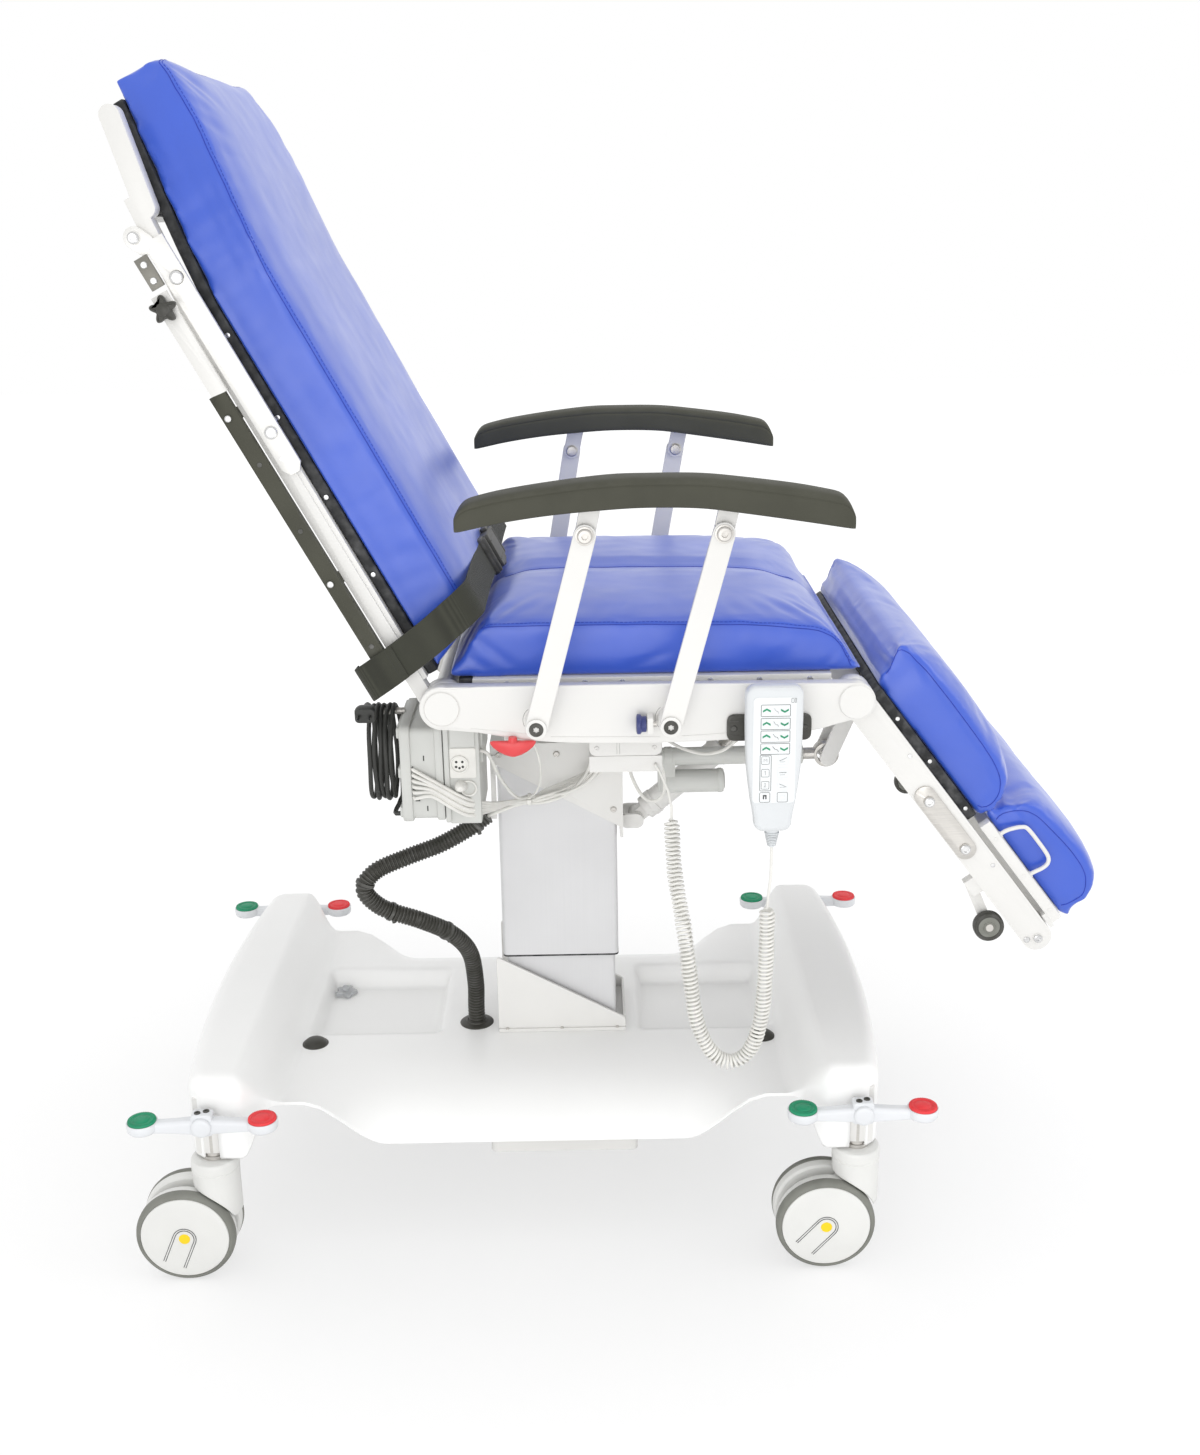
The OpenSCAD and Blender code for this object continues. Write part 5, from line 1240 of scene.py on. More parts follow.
def caster(end, side_name):
    e, s = ENDS[end], SIDES[side_name]
    x, y = e * STEM[0], s * STEM[1]
    name = f"caster_hood_{end}_{side_name}"
    turned = circle(72)

    def bottom(px):
        reach = 77.5 ** 2 - (px + TRAIL) ** 2
        return max(100.0, WHEEL_Z + sqrt(reach)) if reach > 0 else 100.0

    rings = [[(x + r * c, y + r * d, z) for c, d in turned] for r, z in HOOD_TOP]
    for share, r in ((0.15, 35.3), (0.35, 35.3), (0.6, 35.3), (0.85, 35.3), (0.965, 35.0), (1.0, 33.9)):
        rings.append([(x + r * c, y + r * d, mix(168, bottom(r * c), share)) for c, d in turned])
    for r in (28, 18, 8, 0.5):
        rings.append([(x + r * c, y + r * d, bottom(r * c) + 2) for c, d in turned])
    hood = Shape().loft(rings)
    hood.side([(x + px, z) for px, z in link((-TRAIL, WHEEL_Z), (-12, 134), 16)], y - 8, y + 8)
    piece(f"{name}_shell", hood, f"{name}_body", "wheel_white", name)

    name = f"caster_wheels_{end}_{side_name}"
    wheels = Shape()
    angle = -radians(23 if e < 0 else 41)
    for t in (-1, 1):
        axis = (0, t, 0)
        at = (x - TRAIL, y + t * 9, WHEEL_Z)
        wheels.paint(1)
        wheels.lathe([(60, 15.4), (74.2, 15.4), (75, 16.4), (75, 22), (73.8, 26.4), (71.4, 29), (69.2, 30),
            (67.4, 30.2), (66.8, 29), (66.8, 26), (60, 26)], at, axis, 96, True)
        wheels.paint(0)
        wheels.lathe([(30, 0.4), (64, 0.4), (70, 1.2), (73, 4), (74.2, 8), (74.2, 15.6), (30, 15.6)], at,
            axis, 96, True)
        wheels.lathe([(0, 0.8), (60, 0.8), (60, 3), (66.6, 3), (66.6, 29.4), (65.6, 30.3), (62, 30.9),
            (40, 31.9), (20, 32.4), (0, 32.5)], at, axis, 96)
        wheels.paint(2)
        wheels.lathe([(0, 31), (8.4, 31), (8.4, 33), (7.8, 33.5), (4, 33.9), (0, 34)], at, axis, 32)
        wheels.paint(3)
        for r in (17.6, 14.4):
            line = []
            for px, pz in [(-r, -49)] + arc(0, 0, r, 180, 0, 20) + [(r, -49)]:
                qx = px * cos(angle) - pz * sin(angle)
                qz = px * sin(angle) + pz * cos(angle)
                rr = hypot(qx, qz)
                h = mix(32.4, 31.9, (rr - 20) / 20) if rr < 40 else mix(31.9, 30.9, (rr - 40) / 22)
                line.append(Vector((at[0] + qx, at[1] + t * (h + 0.15), at[2] + qz)))
            wheels.tube(even(line, 60), 0.6, 6)
    wheels.paint(0)
    wheels.pin(x - TRAIL, WHEEL_Z, 8, y - 10, y + 10)
    piece(f"{name}_twin", wheels, f"{name}_body", "wheel_white", name,
        ["wheel_white", "wheel_grey", "yellow", "ink"], angle=28)

    stem = Shape()
    stem.lathe([(0, 194.8), (18.5, 194.8), (18.5, 198.4), (17.4, 199.6), (14.6, 200.2), (14.2, 202),
        (14.2, 243), (0, 243)], (x, y, 0), n=48)
    piece(f"caster_stem_{end}_{side_name}", stem, "base", "steel")


def pedal(end, side_name):
    x = ENDS[end] * STEM[0]
    name = f"pedal_{end}_{side_name}"
    p = Shape()
    for d in (-1, 1):
        rings = []
        for reach, low, high, half in ((8, 263, 286, 9.6), (22, 264, 285, 9.4), (40, 265, 283.5, 9.2),
                (60, 266, 282.5, 9.2), (72, 266.4, 282, 9.6)):
            a, b = -378 - half, -378 + half
            outline = [(a, low), (b, low), (b, high - 2), (b - 4, high), (a + 4, high), (a, high - 4)]
            rings.append([(x + d * reach, y, z) for y, z in fillet(outline, 2.2, 3)])
        p.loft(rings)
        at = (x + d * 88, -378, 0)
        p.lathe([(0, 266.5), (17, 266.5), (20.5, 267.6), (22.2, 270), (22.8, 275), (22.9, 281.4),
            (22.4, 282.4), (21, 282.6), (20.8, 281), (0, 281)], at, n=56)
        p.paint(1 if d < 0 else 2)
        p.lathe([(0, 280), (20.3, 280), (20.7, 283.6), (20.2, 285.4), (18.6, 286.2), (15.6, 286.4),
            (15, 285.4), (11.6, 285.3), (10.8, 286.3), (5, 287), (0, 287.1)], at, n=56)
        for c, s in circle(48):
            m = Vector(at) + Vector((c, s, 0)) * 18.6 + Vector((0, 0, 285.2))
            p.add([m + Vector((c, s, 0)) * i + Vector((-s, c, 0)) * j + Vector((0, 0, h))
                for i, j, h in ((-1.4, -0.55, 0), (1.9, -0.55, -0.8), (1.9, 0.55, -0.8), (-1.4, 0.55, 0),
                (-1.4, -0.35, 1.6), (1.7, -0.35, 0.9), (1.7, 0.35, 0.9), (-1.4, 0.35, 1.6))],
                [[0, 3, 2, 1], [4, 5, 6, 7], [0, 1, 5, 4], [1, 2, 6, 5], [2, 3, 7, 6], [3, 0, 4, 7]])
        for c, s in circle(12):
            p.stud((at[0] + 7.6 * c, at[1] + 7.6 * s, 286.2), UP, 0.9, 0.7, 0.7, 0.8, 8)
        p.paint(0)
    hub = rectangle(x - 15.5, 259, x + 15.5, 294, 6, 5)
    p.loft([[(px + (x - px) * k, y, pz + (276 - pz) * k) for px, pz in hub]
        for y, k in ((-385.6, 0.06), (-384.4, 0), (-367, 0), (-366, 0.06))])
    p.lathe([(0, 0), (14.4, 0), (15, 1), (14.8, 5.2), (13.4, 6.8), (9, 7.6), (0, 7.8)], (x, -385, 275), NEAR,
        40)
    p.paint(3)
    for dx in (-6, 6):
        p.lathe([(0, 0.6), (2.2, 0.6), (2.2, 1.6), (4.4, 1.6), (4.8, 0.9), (4.8, -0.5), (0, -0.5)],
            (x + dx, -376 + dx * 0.4, 294), n=20)
    p.paint(4)
    p.pin(x, 274, 8, -367, -292)
    p.flip(SIDES[side_name])
    piece(f"{name}_lever", p, f"{name}_body", "pedal_grey", name,
        ["pedal_grey", "green", "tread_red", "black_plastic", "steel"], bevel=0.35, steps=1, angle=50)


for end in ENDS:
    for side_name in SIDES:
        caster(end, side_name)
        pedal(end, side_name)


# Column: two stages with a wedge plate at the foot and a head above

COLUMN_X = 39


def box_stage(w, d, r, z0, z1, name, node_name, body):
    def ring(grow, z):
        outline = rectangle(COLUMN_X - w / 2 + grow, -d / 2 + grow, COLUMN_X + w / 2 - grow, d / 2 - grow,
            max(1.0, r - grow), 6)
        return [(px, py, z) for px, py in outline]

    wall = 5
    stage = Shape()
    stage.loft([ring(wall, z1 - 0.5), ring(wall, z0 + 1), ring(0.6, z0), ring(0, z0 + 1), ring(0, z1)])
    if node_name == "column_outer":
        low, high = z0 - 0.6, z0 + 2.2
        stage.paint(1)
        stage.loft([ring(-0.25, high), ring(-0.25, low), ring(wall + 0.2, low), ring(wall + 0.2, high)], True)
        stage.paint(0)
        for px in (COLUMN_X - w / 2 + 11, COLUMN_X + w / 2 - 11):
            for y0, y1 in ((-d / 2 - 0.25, -d / 2), (d / 2, d / 2 + 0.25)):
                stage.box((px - 0.45, y0, z0 + 4), (px + 0.45, y1, z1))
    piece(name, stage, body, "column_silver", node_name, ["column_silver", "board_black"], angle=24)


box_stage(188, 132, 9, 385, 746, "column_upper_stage", "column_outer", "lift")
box_stage(177, 121, 7, 258, 628, "column_lower_stage", "column_inner", "base")

foot = Shape()
for y0, y1 in ((-74, -69), (69, 74)):
    foot.side(fillet([(-66, 258), (143, 258), (143, 274), (-66, 388)], [3, 3, 5, 8], 5), y0, y1)
foot.box((-66, -77, 252), (143, 77, 258))
foot.box((139, -69, 256), (143, 69, 274))
piece("column_foot_plates", foot, "base", "frame_white", "column_foot", bevel=1.1)
screws = Shape()
for x in (-52, 38, 129):
    for y in (-75.5, 75.5):
        screws.lathe([(0, 1.0), (1.2, 1.0), (1.2, 1.8), (2.5, 1.6), (3.0, 0.6), (3.0, -0.6), (0, -0.6)],
            (x, y, 258), n=16)
piece("column_foot_screws", screws, "base", "steel")
dressed("column_head", ["frame_white", "steel"], bevel=1.0,
        mark=lambda p: hypot(p.x - 165, p.z - 602) < 6 and abs(p.y) < 21)
screws = Shape()
for x, z in ((-50, 734), (128, 732), (128, 640), (40, 734)):
    for s in (-1, 1):
        screws.bolt((x, s * 71, z), (0, s, 0), 5, 2.6)
piece("column_head_screws", screws, "lift", "steel")


# Seat frame: side rails, beams, deck, brackets

HUB_Z = LEG_HUB.z
RAIL_TOP = [(-96, 922), (-60, 925), (200, 925), (459, 921)]
RAIL_LOW = [(440, 866), (410, 857), (382, 852), (320, 846), (244, 842), (176, 841), (107, 842), (50, 844),
    (11, 848), (-30, 855), (-62, 862), (-90, 867)]
rail = Shape()
outline = RAIL_TOP + arc(LEG_HUB.x, HUB_Z, 26, 88, -48, 14) + RAIL_LOW
outline += arc(BACK_HUB.x, HUB_Z, 30, 245, 105, 14)
rail.plate(inset(outline, -0.5), -346, -339, 1.8)
for x in (LEG_HUB.x, BACK_HUB.x):
    rail.pin(x, HUB_Z, 24.4, -348.6, -345, 1.4)
rail.both()
piece("seat_rails", rail, "seat", "frame_white")
lip = Shape()
for x0, x1, z0, z1 in ((-70, 20, 866.2, 856.4), (40, 190, 852.2, 849.4), (220, 380, 850, 858.6)):
    lip.tube([(mix(x0, x1, k / 12), -346.1, mix(z0, z1, k / 12)) for k in range(13)], 0.8, 8)
lip.both()
piece("rail_bead", lip, "seat", "frame_white")
dressed("seat_frame", ["frame_white", "steel"], bevel=1.0,
        mark=lambda p: (abs(p.y) > 318 and hypot(p.x - BACK_HUB.x, p.z - HUB_Z) < 10)
        or (hypot(p.x - 62, p.z - 770) < 9.5 and abs(p.y) < 50))
dressed("seat_deck", "frame_white", bevel=1.4)
piece("seat_deck_end", Shape().box((-87, -300, 911), (-67, 300, 924.5)), "seat", "board_black", bevel=1.4)
heads = Shape()
for x in (-20, 88, 140, 232, 262, 330, 400):
    for s in (-1, 1):
        heads.lathe([(0, 1.0), (1.7, 1.0), (1.7, 2.3), (3.8, 2.0), (4.6, 0.8), (4.6, -0.5), (0, -0.5)],
            (x, s * 306, 917), (0, s, 0), 20)
piece("deck_screws", heads, "seat", "steel", finishes="chrome")

# Release handle under the near rail
GRIP_X = -12
rings = []
for z, half, thick in ((849, 17, 3.6), (848.2, 27, 5.0), (846.4, 31.5, 5.8), (843, 31, 6.2), (838, 27, 6.2),
        (833, 20, 5.8), (829, 12, 4.6), (827, 5, 2.4)):
    rings.append([(GRIP_X + half * c, -351.6 + thick * s * (1.0 - 0.45 * abs(c) ** 3),
        z + 2.2 * (half * abs(c) / 31) ** 2) for c, s in circle(32)])
handle = Shape().loft(rings)
handle.lathe([(0, 0), (7.4, 0), (6.2, 3), (5.6, 7), (0, 7)], (GRIP_X, -352, 848), n=20)
piece("pull_handle", handle, "release_handle_body", "red_plastic")
shaft = Shape().pin(GRIP_X, 838, 4, -348, -280, 0.6).pin(GRIP_X, 838, 8, -284, -280)
piece("pull_handle_shaft", shaft, "release_handle_body", "steel", "release_handle")
cord("release_cable", run([(4, -300, 838), (12, -292, 828), (20, -262, 792), (20, -220, 748),
    (12, -176, 712), (2, -140, 690), (-2, -128, 684)], 50, 8), 3.0)

# Arm pivots with their socket bolts, and the spring plungers
ARM_X = {"rear": 22, "front": 203}
ARM_Z = 877
for side_name, s in SIDES.items():
    for x in ARM_X.values():
        boss = Shape()
        boss.lathe([(0, 0), (16.4, 0), (16.4, 20), (15.4, 21.4), (15.2, 30.4), (0, 30.4)], (x, -344, ARM_Z),
            NEAR, 40)
        boss.paint(1)
        boss.lathe([(0, 0), (12.6, 0), (13, 0.6), (13, 1.6), (10.4, 1.9), (10.2, 2.2), (9.6, 5.2),
            (7.6, 6.4), (4.4, 6.6), (4.2, 2.6), (0, 2.4)], (x, -386.3, ARM_Z), NEAR, 40)
        for c, d in circle(6):
            boss.stud((x + 4.3 * c, -389.0, ARM_Z + 4.3 * d), NEAR, 0.9, 0.9, 3.4, 3.4, 8)
        boss.tube([(px, -345.1, pz) for px, pz in arc(x, ARM_Z, 19.5, 128, 232, 16)], 1.0, 8)
        boss.flip(s)
        piece(f"arm_pivot_{side_name}_{x}", boss, "seat", "frame_white",
            finishes=["frame_white", "black_plastic"], angle=28)
    pull = Shape()
    at = (157, -360, 873)
    pull.lathe([(0, 0.6), (10, 0), (13, 0.8), (14, 2.4), (14, 5.2), (13, 6.6), (11.4, 7.2), (11, 8.2),
        (11, 13.2), (10.4, 14), (0, 14)], at, FOOTWARD, 36)
    for c, d in circle(18):
        pull.tube([Vector(at) + Vector((h, 13.2 * c, 13.2 * d)) for h in (1.8, 5.8)], 0.9, 6)
    pull.paint(1)
    pull.lathe([(0, 11), (4, 11), (4, 28), (0, 28)], at, FOOTWARD, 20)
    pull.flip(s)
    piece(f"plunger_{side_name}", pull, f"arm_plunger_{side_name}_body", "navy_plastic",
        f"arm_plunger_{side_name}", ["navy_plastic", "steel"], angle=30)

# Arms: posts and padded tops
PAD_LOW = [(-254, 6), (-200, 17), (-135, 26), (-60, 32), (-8, 34), (60, 32), (119, 24), (190, 13), (256, 2)]
PAD_HIGH = [(260, 28), (254, 40), (239, 47), (190, 57), (118, 67), (60, 73), (-8, 74), (-60, 73), (-134, 65),
    (-200, 55), (-242, 45), (-257, 41), (-260, 33)]


def curve_at(points, x):
    for (x0, z0), (x1, z1) in zip(points, points[1:]):
        if x0 <= x <= x1:
            return mix(z0, z1, (x - x0) / (x1 - x0))
    return points[0][1] if x < points[0][0] else points[-1][1]


# Half of the pad's section: share of its half width, and share of its height
PAD_RING = [(-0.86, 0.0), (-0.94, 0.02), (-1.0, 0.1), (-1.0, 0.3), (-1.0, 0.62), (-0.985, 0.72),
    (-0.93, 0.745), (-0.97, 0.77), (-0.95, 0.88), (-0.8, 0.965), (-0.5, 1.0)]
PAD_RING += [(0.0, 1.015)] + [(-a, b) for a, b in reversed(PAD_RING)]
low_line = [tuple(p) for p in spline(PAD_LOW, 8)]
high_line = [tuple(p) for p in spline(PAD_HIGH[-3:1:-1], 8)]
for side_name, s in SIDES.items():
    lean = radians(15 if s < 0 else 10)
    bolts = [(x + 270 * sin(lean), ARM_Z + 270 * cos(lean)) for x in ARM_X.values()]
    for (where, x), bolt_at in zip(ARM_X.items(), bolts):
        name = f"arm_post_{where}_{side_name}"
        post = Shape().plate(link((x, ARM_Z), bolt_at, 15, 20), -386, -378, 1.1)
        piece(f"{name}_bar", post.flip(s), f"{name}_body", "frame_white", name)
    mx, mz = (bolts[0][0] + bolts[1][0]) / 2, (bolts[0][1] + bolts[1][1]) / 2 + 3
    rings = []
    for x in [-259.5, -258, -254, -248, -240, *range(-228, 240, 12), 243, 250, 255, 258.5, 260]:
        low = curve_at(low_line, x)
        high = curve_at(high_line, max(-242, min(239, x)))
        if not -242 <= x <= 239:
            high = mix(high, low + 16, ((abs(x) - 240) / 20) ** 2)
        half = 30 * (0.82 + 0.18 * sqrt(clamp((260 - abs(x)) / 16)))
        rings.append([(mx + x, -371 + a * half, mz + low + b * (high - low) * 0.985) for a, b in PAD_RING])
    name = f"arm_pad_{side_name}"
    obj = piece(f"{name}_skin", Shape().loft(rings).flip(s), f"{name}_body", "pad_dark", name, level=1,
        angle=60)
    ears = Shape()
    for bx, bz in bolts:
        ears.paint(0)
        ears.plate(link((bx, bz), (bx + 8, mz + 34), 13.5), -377, -370, 0.8)
        ears.stud((bx, -387, bz), FAR, 6, 6, 9, 9, 24)
        ears.paint(1)
        ears.lathe([(0, 0), (12, 0), (12.4, 0.5), (12.4, 1.5), (10.2, 1.8), (9.8, 4.2), (8, 5.4), (4.2, 5.6),
            (4.0, 2.2), (0, 2.0)], (bx, -386.2, bz), NEAR, 36)
        ears.lathe([(0, 0), (9.6, 0), (10, 0.6), (10, 1.6), (8.4, 2.4), (7.6, 3.6), (4, 4), (0, 4)],
            (bx, -370, bz), FAR, 32)
    piece(f"{name}_ears", ears.flip(s), f"{name}_body", "frame_white", finishes=["frame_white", "steel"],
        angle=28)


# Control box: a ribbed lid, the box with its sockets, and the white housing on the cross channel
FACE_Y = -259
BOX_SLABS = [(-180, -164.5, (-262.6, 696), (-108, 844), 14, 2.6),
    (-166, -124, (-259.5, 700), (-110, 840), 12, 1.5), (-130, -118.5, (-262.2, 698), (-108, 842), 11, 2.0),
    (-117.5, -109.5, (-261, 694), (-109, 844), 8, 1.8), (-111, -66, (-257.8, 692), (-112, 846), 5, 1.6)]
BOX_SLABS += [(-184, -178, (-258, z - 8), (-112, z + 8), 4, 1.6) for z in (712, 772, 832)]
case = Shape()
for sizes in BOX_SLABS:
    case.slab(*sizes)
case.box((-107, -261.4, 812), (-72, -257, 838))
case.slab(-66.5, -62, (-240, 780), (-130, 910), 4, 1.0)
case.stud((-184, -248, 707), FOOTWARD, 6, 6, 20, 20, 24)
case.paint(1)
case.side(rectangle(-109, 764, -71, 809, 3), -259.6, -257)
case.lathe([(11.2, -2), (13.4, -2), (13.6, 2.2), (12.9, 3.2), (11.6, 3.0), (10.8, 1.2), (10.6, -1)],
    (-95, FACE_Y, 785), NEAR, 40, True)
case.lathe([(0, -1.2), (10.9, -1.2), (10.9, 0.4), (0, 0.4)], (-95, -258.6, 785), NEAR, 32)
case.lathe([(9.5, -2), (12.0, -2), (12.4, 1.6), (11.6, 2.6), (10.2, 2.2), (9.4, 0)], (-83, FACE_Y, 748),
    NEAR, 32, True)
case.loft([[(-94 + w * c, y, 753 + 0.86 * w * s) for c, s in circle(24)]
    for w, y in ((8.6, -257), (9, -263), (8.2, -270), (6.0, -274), (3.4, -276))])
case.paint(2)
for x, z in ((-99.4, 788.4), (-90.6, 788.4), (-95, 779.2), (-99.8, 781), (-90.2, 781)):
    case.stud((x, -258.9, z), NEAR, 1.9, 1.9, 1.2, 1.2, 12)
for x, z in ((-146, 795), (-143.6, 718)):
    case.box((x - 0.9, -259.9, z - 4), (x + 0.9, -259.3, z + 4))
for k in range(9):
    case.box((-163.6, -261.4, 780 - 5.6 * k), (-161.4, -259.2, 783 - 5.6 * k))
case.box((-160.5, -261.6, 730), (-154, -259.2, 734))
piece("box_case", case, "seat", "box_grey", "control_box", ["box_grey", "cord_grey", "cord_black"], bevel=0.6)
hook = Shape()
hook.tube([(-178, HOOK_Y, HOOK_Z), (-205, HOOK_Y, HOOK_Z), (-236, HOOK_Y, HOOK_Z), (-239, HOOK_Y, 845.2),
    (-240.4, HOOK_Y, 848)], 5, 18)
hook.lathe([(0, 0), (8, 0), (9, 0.8), (9, 2.4), (8.2, 3), (0, 3)], (-243, HOOK_Y, HOOK_Z), FOOTWARD, 28)
for y in (-234, -136):
    hook.bolt((-62, y, 894), FOOTWARD, 4.4, 2.6)
piece("box_hook", hook, "seat", "steel")
outline = fillet([(92, 800), (196, 800), (196, 850), (92, 850)], [12, 12, 2, 2], 6)
housing = Shape().plate(outline, -280, -206, 1.6)
housing.paint(1)
for x in (131.5, 135.4):
    housing.tube([(x, -280.1, 803), (x, -280.1, 848)], 0.55, 6)
housing.paint(0)
for x in (103, 185):
    housing.bolt((x, -280, 812), NEAR, 3.6, 1.8)
piece("channel_housing", housing, "seat", "frame_white", finishes=["frame_white", "box_grey"])

# Handset: shell, keypad and the clip it hangs on

HAND_X = 341.5
half = arc(25.5, 919.5, 13.5, 90, 0, 8) + [(39, 900), (39, 881), (38.4, 850), (37, 820), (34.2, 795),
    (31, 771), (28, 755), (26.4, 745)] + arc(12.6, 739.6, 13.6, 8, -84, 8)
outline = [(HAND_X - x, z) for x, z in reversed(half)] + [(HAND_X + x, z) for x, z in half]
hand = Shape()
hand.loft([[(x, y, z) for x, z in inset(outline, e)] for e, y in ((10, -373), (5, -373), (1.8, -374.2),
    (0.4, -377), (0, -380), (0, -389), (0.5, -392.5), (1.8, -395), (4.2, -396.7), (6.4, -397.2),
    (7.4, -397.2))])
hand.paint(1)
film = rectangle(312.5, 769, 370.5, 919, 7, 5)
hand.loft([[(x, y, z) for x, z in inset(film, e)] for e, y in ((0, -396), (0, -397.7), (0.4, -397.95),
    (1.4, -397.95))])
hand.paint(0)
hand.loft([[(HAND_X + w * c, -385 + d * s, z) for c, s in circle(24)]
    for w, d, z in ((13, 8.4, 732), (12.4, 8.2, 726), (9.4, 7.8, 724), (8.2, 7.4, 722), (4.8, 4.8, 703),
    (4.2, 4.2, 701), (2.4, 2.4, 700.5))])
for k in range(8):
    r = 10.2 - 0.58 * k
    hand.lathe([(r - 2.4, -0.8), (r, -0.6), (r, 0.6), (r - 2.4, 0.8)], (HAND_X, -385, 721.5 - 2.6 * k), n=28,
        loop=True)
for x in (309, 374):
    hand.stud((x, -373.2, 926), FAR, 2.2, 2.2, 0.4, 0.4)
piece("handset_shell", hand, "handset_body", "handset_grey", "handset", ["handset_grey", "film"], angle=26)


FACE = -398.05
keys = Shape()


def printed_frame(x0, z0, x1, z1, corner, r=0.34):
    """A thin printed line round a rectangle with round corners."""
    points = rectangle(x0, z0, x1, z1, corner, 3)
    n = len(points)
    rings = []
    for i, (x, z) in enumerate(points):
        t = (Vector(points[(i + 1) % n]) - Vector(points[i - 1])).normalized()
        c = Vector((x, FACE, z))
        out = Vector((t.y, 0, -t.x)) * r
        rings.append([c + out, c + Vector((0, -0.12, 0)), c - out, c + Vector((0, 0.12, 0))])
    keys.loft(rings, True)


def stroke(points, r=0.4):
    keys.tube([(x, FACE, z) for x, z in points], r, 6, 0.4)


for z0, z1 in ((892.7, 908.7), (874.2, 889.9), (856.3, 872.3), (839.2, 854.3)):
    printed_frame(323, z0, 362, z1, 1.2)
printed_frame(322.5, 787, 337.5, 838, 1.6)
for z in (830.5, 812.5, 795):
    printed_frame(324.5, z - 5.5, 335, z + 5.5, 1.8, 0.26)
for x in (329.5, 353.5):
    printed_frame(x - 7, 770.5, x + 7, 784.5, 2, 0.3)
keys.paint(1)
ARROW = [(-5.2, -2.4), (0, 0.7), (5.2, -2.4), (5.2, 0.3), (0, 3.2), (-5.2, 0.3)]
KEY_ROWS = (900.7, 882, 864.3, 846.8)
for z in KEY_ROWS:
    for x, d in ((330.5, 1), (354.5, -1)):
        keys.side([(x + px, z + d * pz) for px, pz in ARROW], FACE - 0.25, FACE + 0.3)
keys.paint(2)
for k, (z, lean) in enumerate(zip(KEY_ROWS, (0.2, 0.6, 1.1, 1.6))):
    stroke([(340.4 - lean, z + 3.6), (342.2, z - 0.4), (345.2, z - 1.2)], 0.36 + 0.12 * k)
    stroke([(345.2, z - 1.2), (346.2 + 0.3 * k, z - 4.0)], 0.36 + 0.1 * k)
stroke([(327.8, 828), (327.8, 833), (329.8, 830.4), (331.8, 833), (331.8, 828)], 0.34)
stroke([(328.6, 814), (330, 815.4), (330, 809.8)], 0.34)
stroke([(328.2, 796.8), (329.6, 798), (331, 796.6), (328.4, 792.6), (331.4, 792.6)], 0.34)
for z, d in ((831.5, 3.0), (813, 0.3), (795, -3.0)):
    stroke([(348.6, z - d * 0.6), (353, z), (358.6, z + d)], 0.5)
    stroke([(349.6, z - 3.4), (356.4, z - 3.2)], 0.26)
for x0, z0, x1, z1 in ((327, 775, 328.6, 780.4), (330.4, 775, 332, 780.4), (327, 779, 332, 781)):
    keys.box((x0, FACE - 0.1, z0), (x1, FACE + 0.1, z1))
printed_frame(363.4, 911.6, 366.6, 917.4, 0.8, 0.24)
printed_frame(368, 911.6, 369.6, 917.4, 0.5, 0.22)
keys.paint(3)
for z in (831.5, 813, 795):
    printed_frame(346.5, z - 7.2, 360.5, z + 7.4, 2, 0.2)
printed_frame(350, 773.5, 357, 780.5, 1, 0.2)
piece("handset_keys", keys, "handset_body", "handset_grey",
    finishes=["ink", "green", "board_black", "pedal_grey"], angle=50)

holder = Shape()
holder.plate(rectangle(281.5, 843, 397.5, 881, 11, 8), -353, -345, 3.0)
holder.plate(rectangle(307.5, 866, 375.5, 884, 2), -369, -366, 0.8)
holder.box((308.5, -367.5, 866), (374.5, -352, 870))
for x in (291, 388):
    holder.lathe([(0, 0), (4.2, 0), (4.4, 1.2), (3.6, 2.4), (0, 2.6)], (x, -352.4, 862), NEAR, 20)
for z in (852, 872):
    holder.tube([(285, -353.1, z), (297, -353.1, z)], 0.5, 6)
piece("holder_plate", holder, "seat", "black_plastic", "handset_holder", angle=30)
tongue = Shape().box((318, -373.5, 884.5), (365, -361.2, 890)).box((318, -364.4, 876), (365, -361.2, 888))
piece("handset_tongue", tongue, "handset_body", "handset_grey", bevel=0.7)

# Drives: bodies, rods and their end fittings
for name, finish in (("leg_actuator", "box_grey"), ("back_actuator", "box_grey"),
        ("tilt_actuator", "frame_white"), ("leg_rod", "steel"), ("back_rod", "steel"), ("tilt_rod", "steel")):
    dressed(name, finish, bevel=1.0)


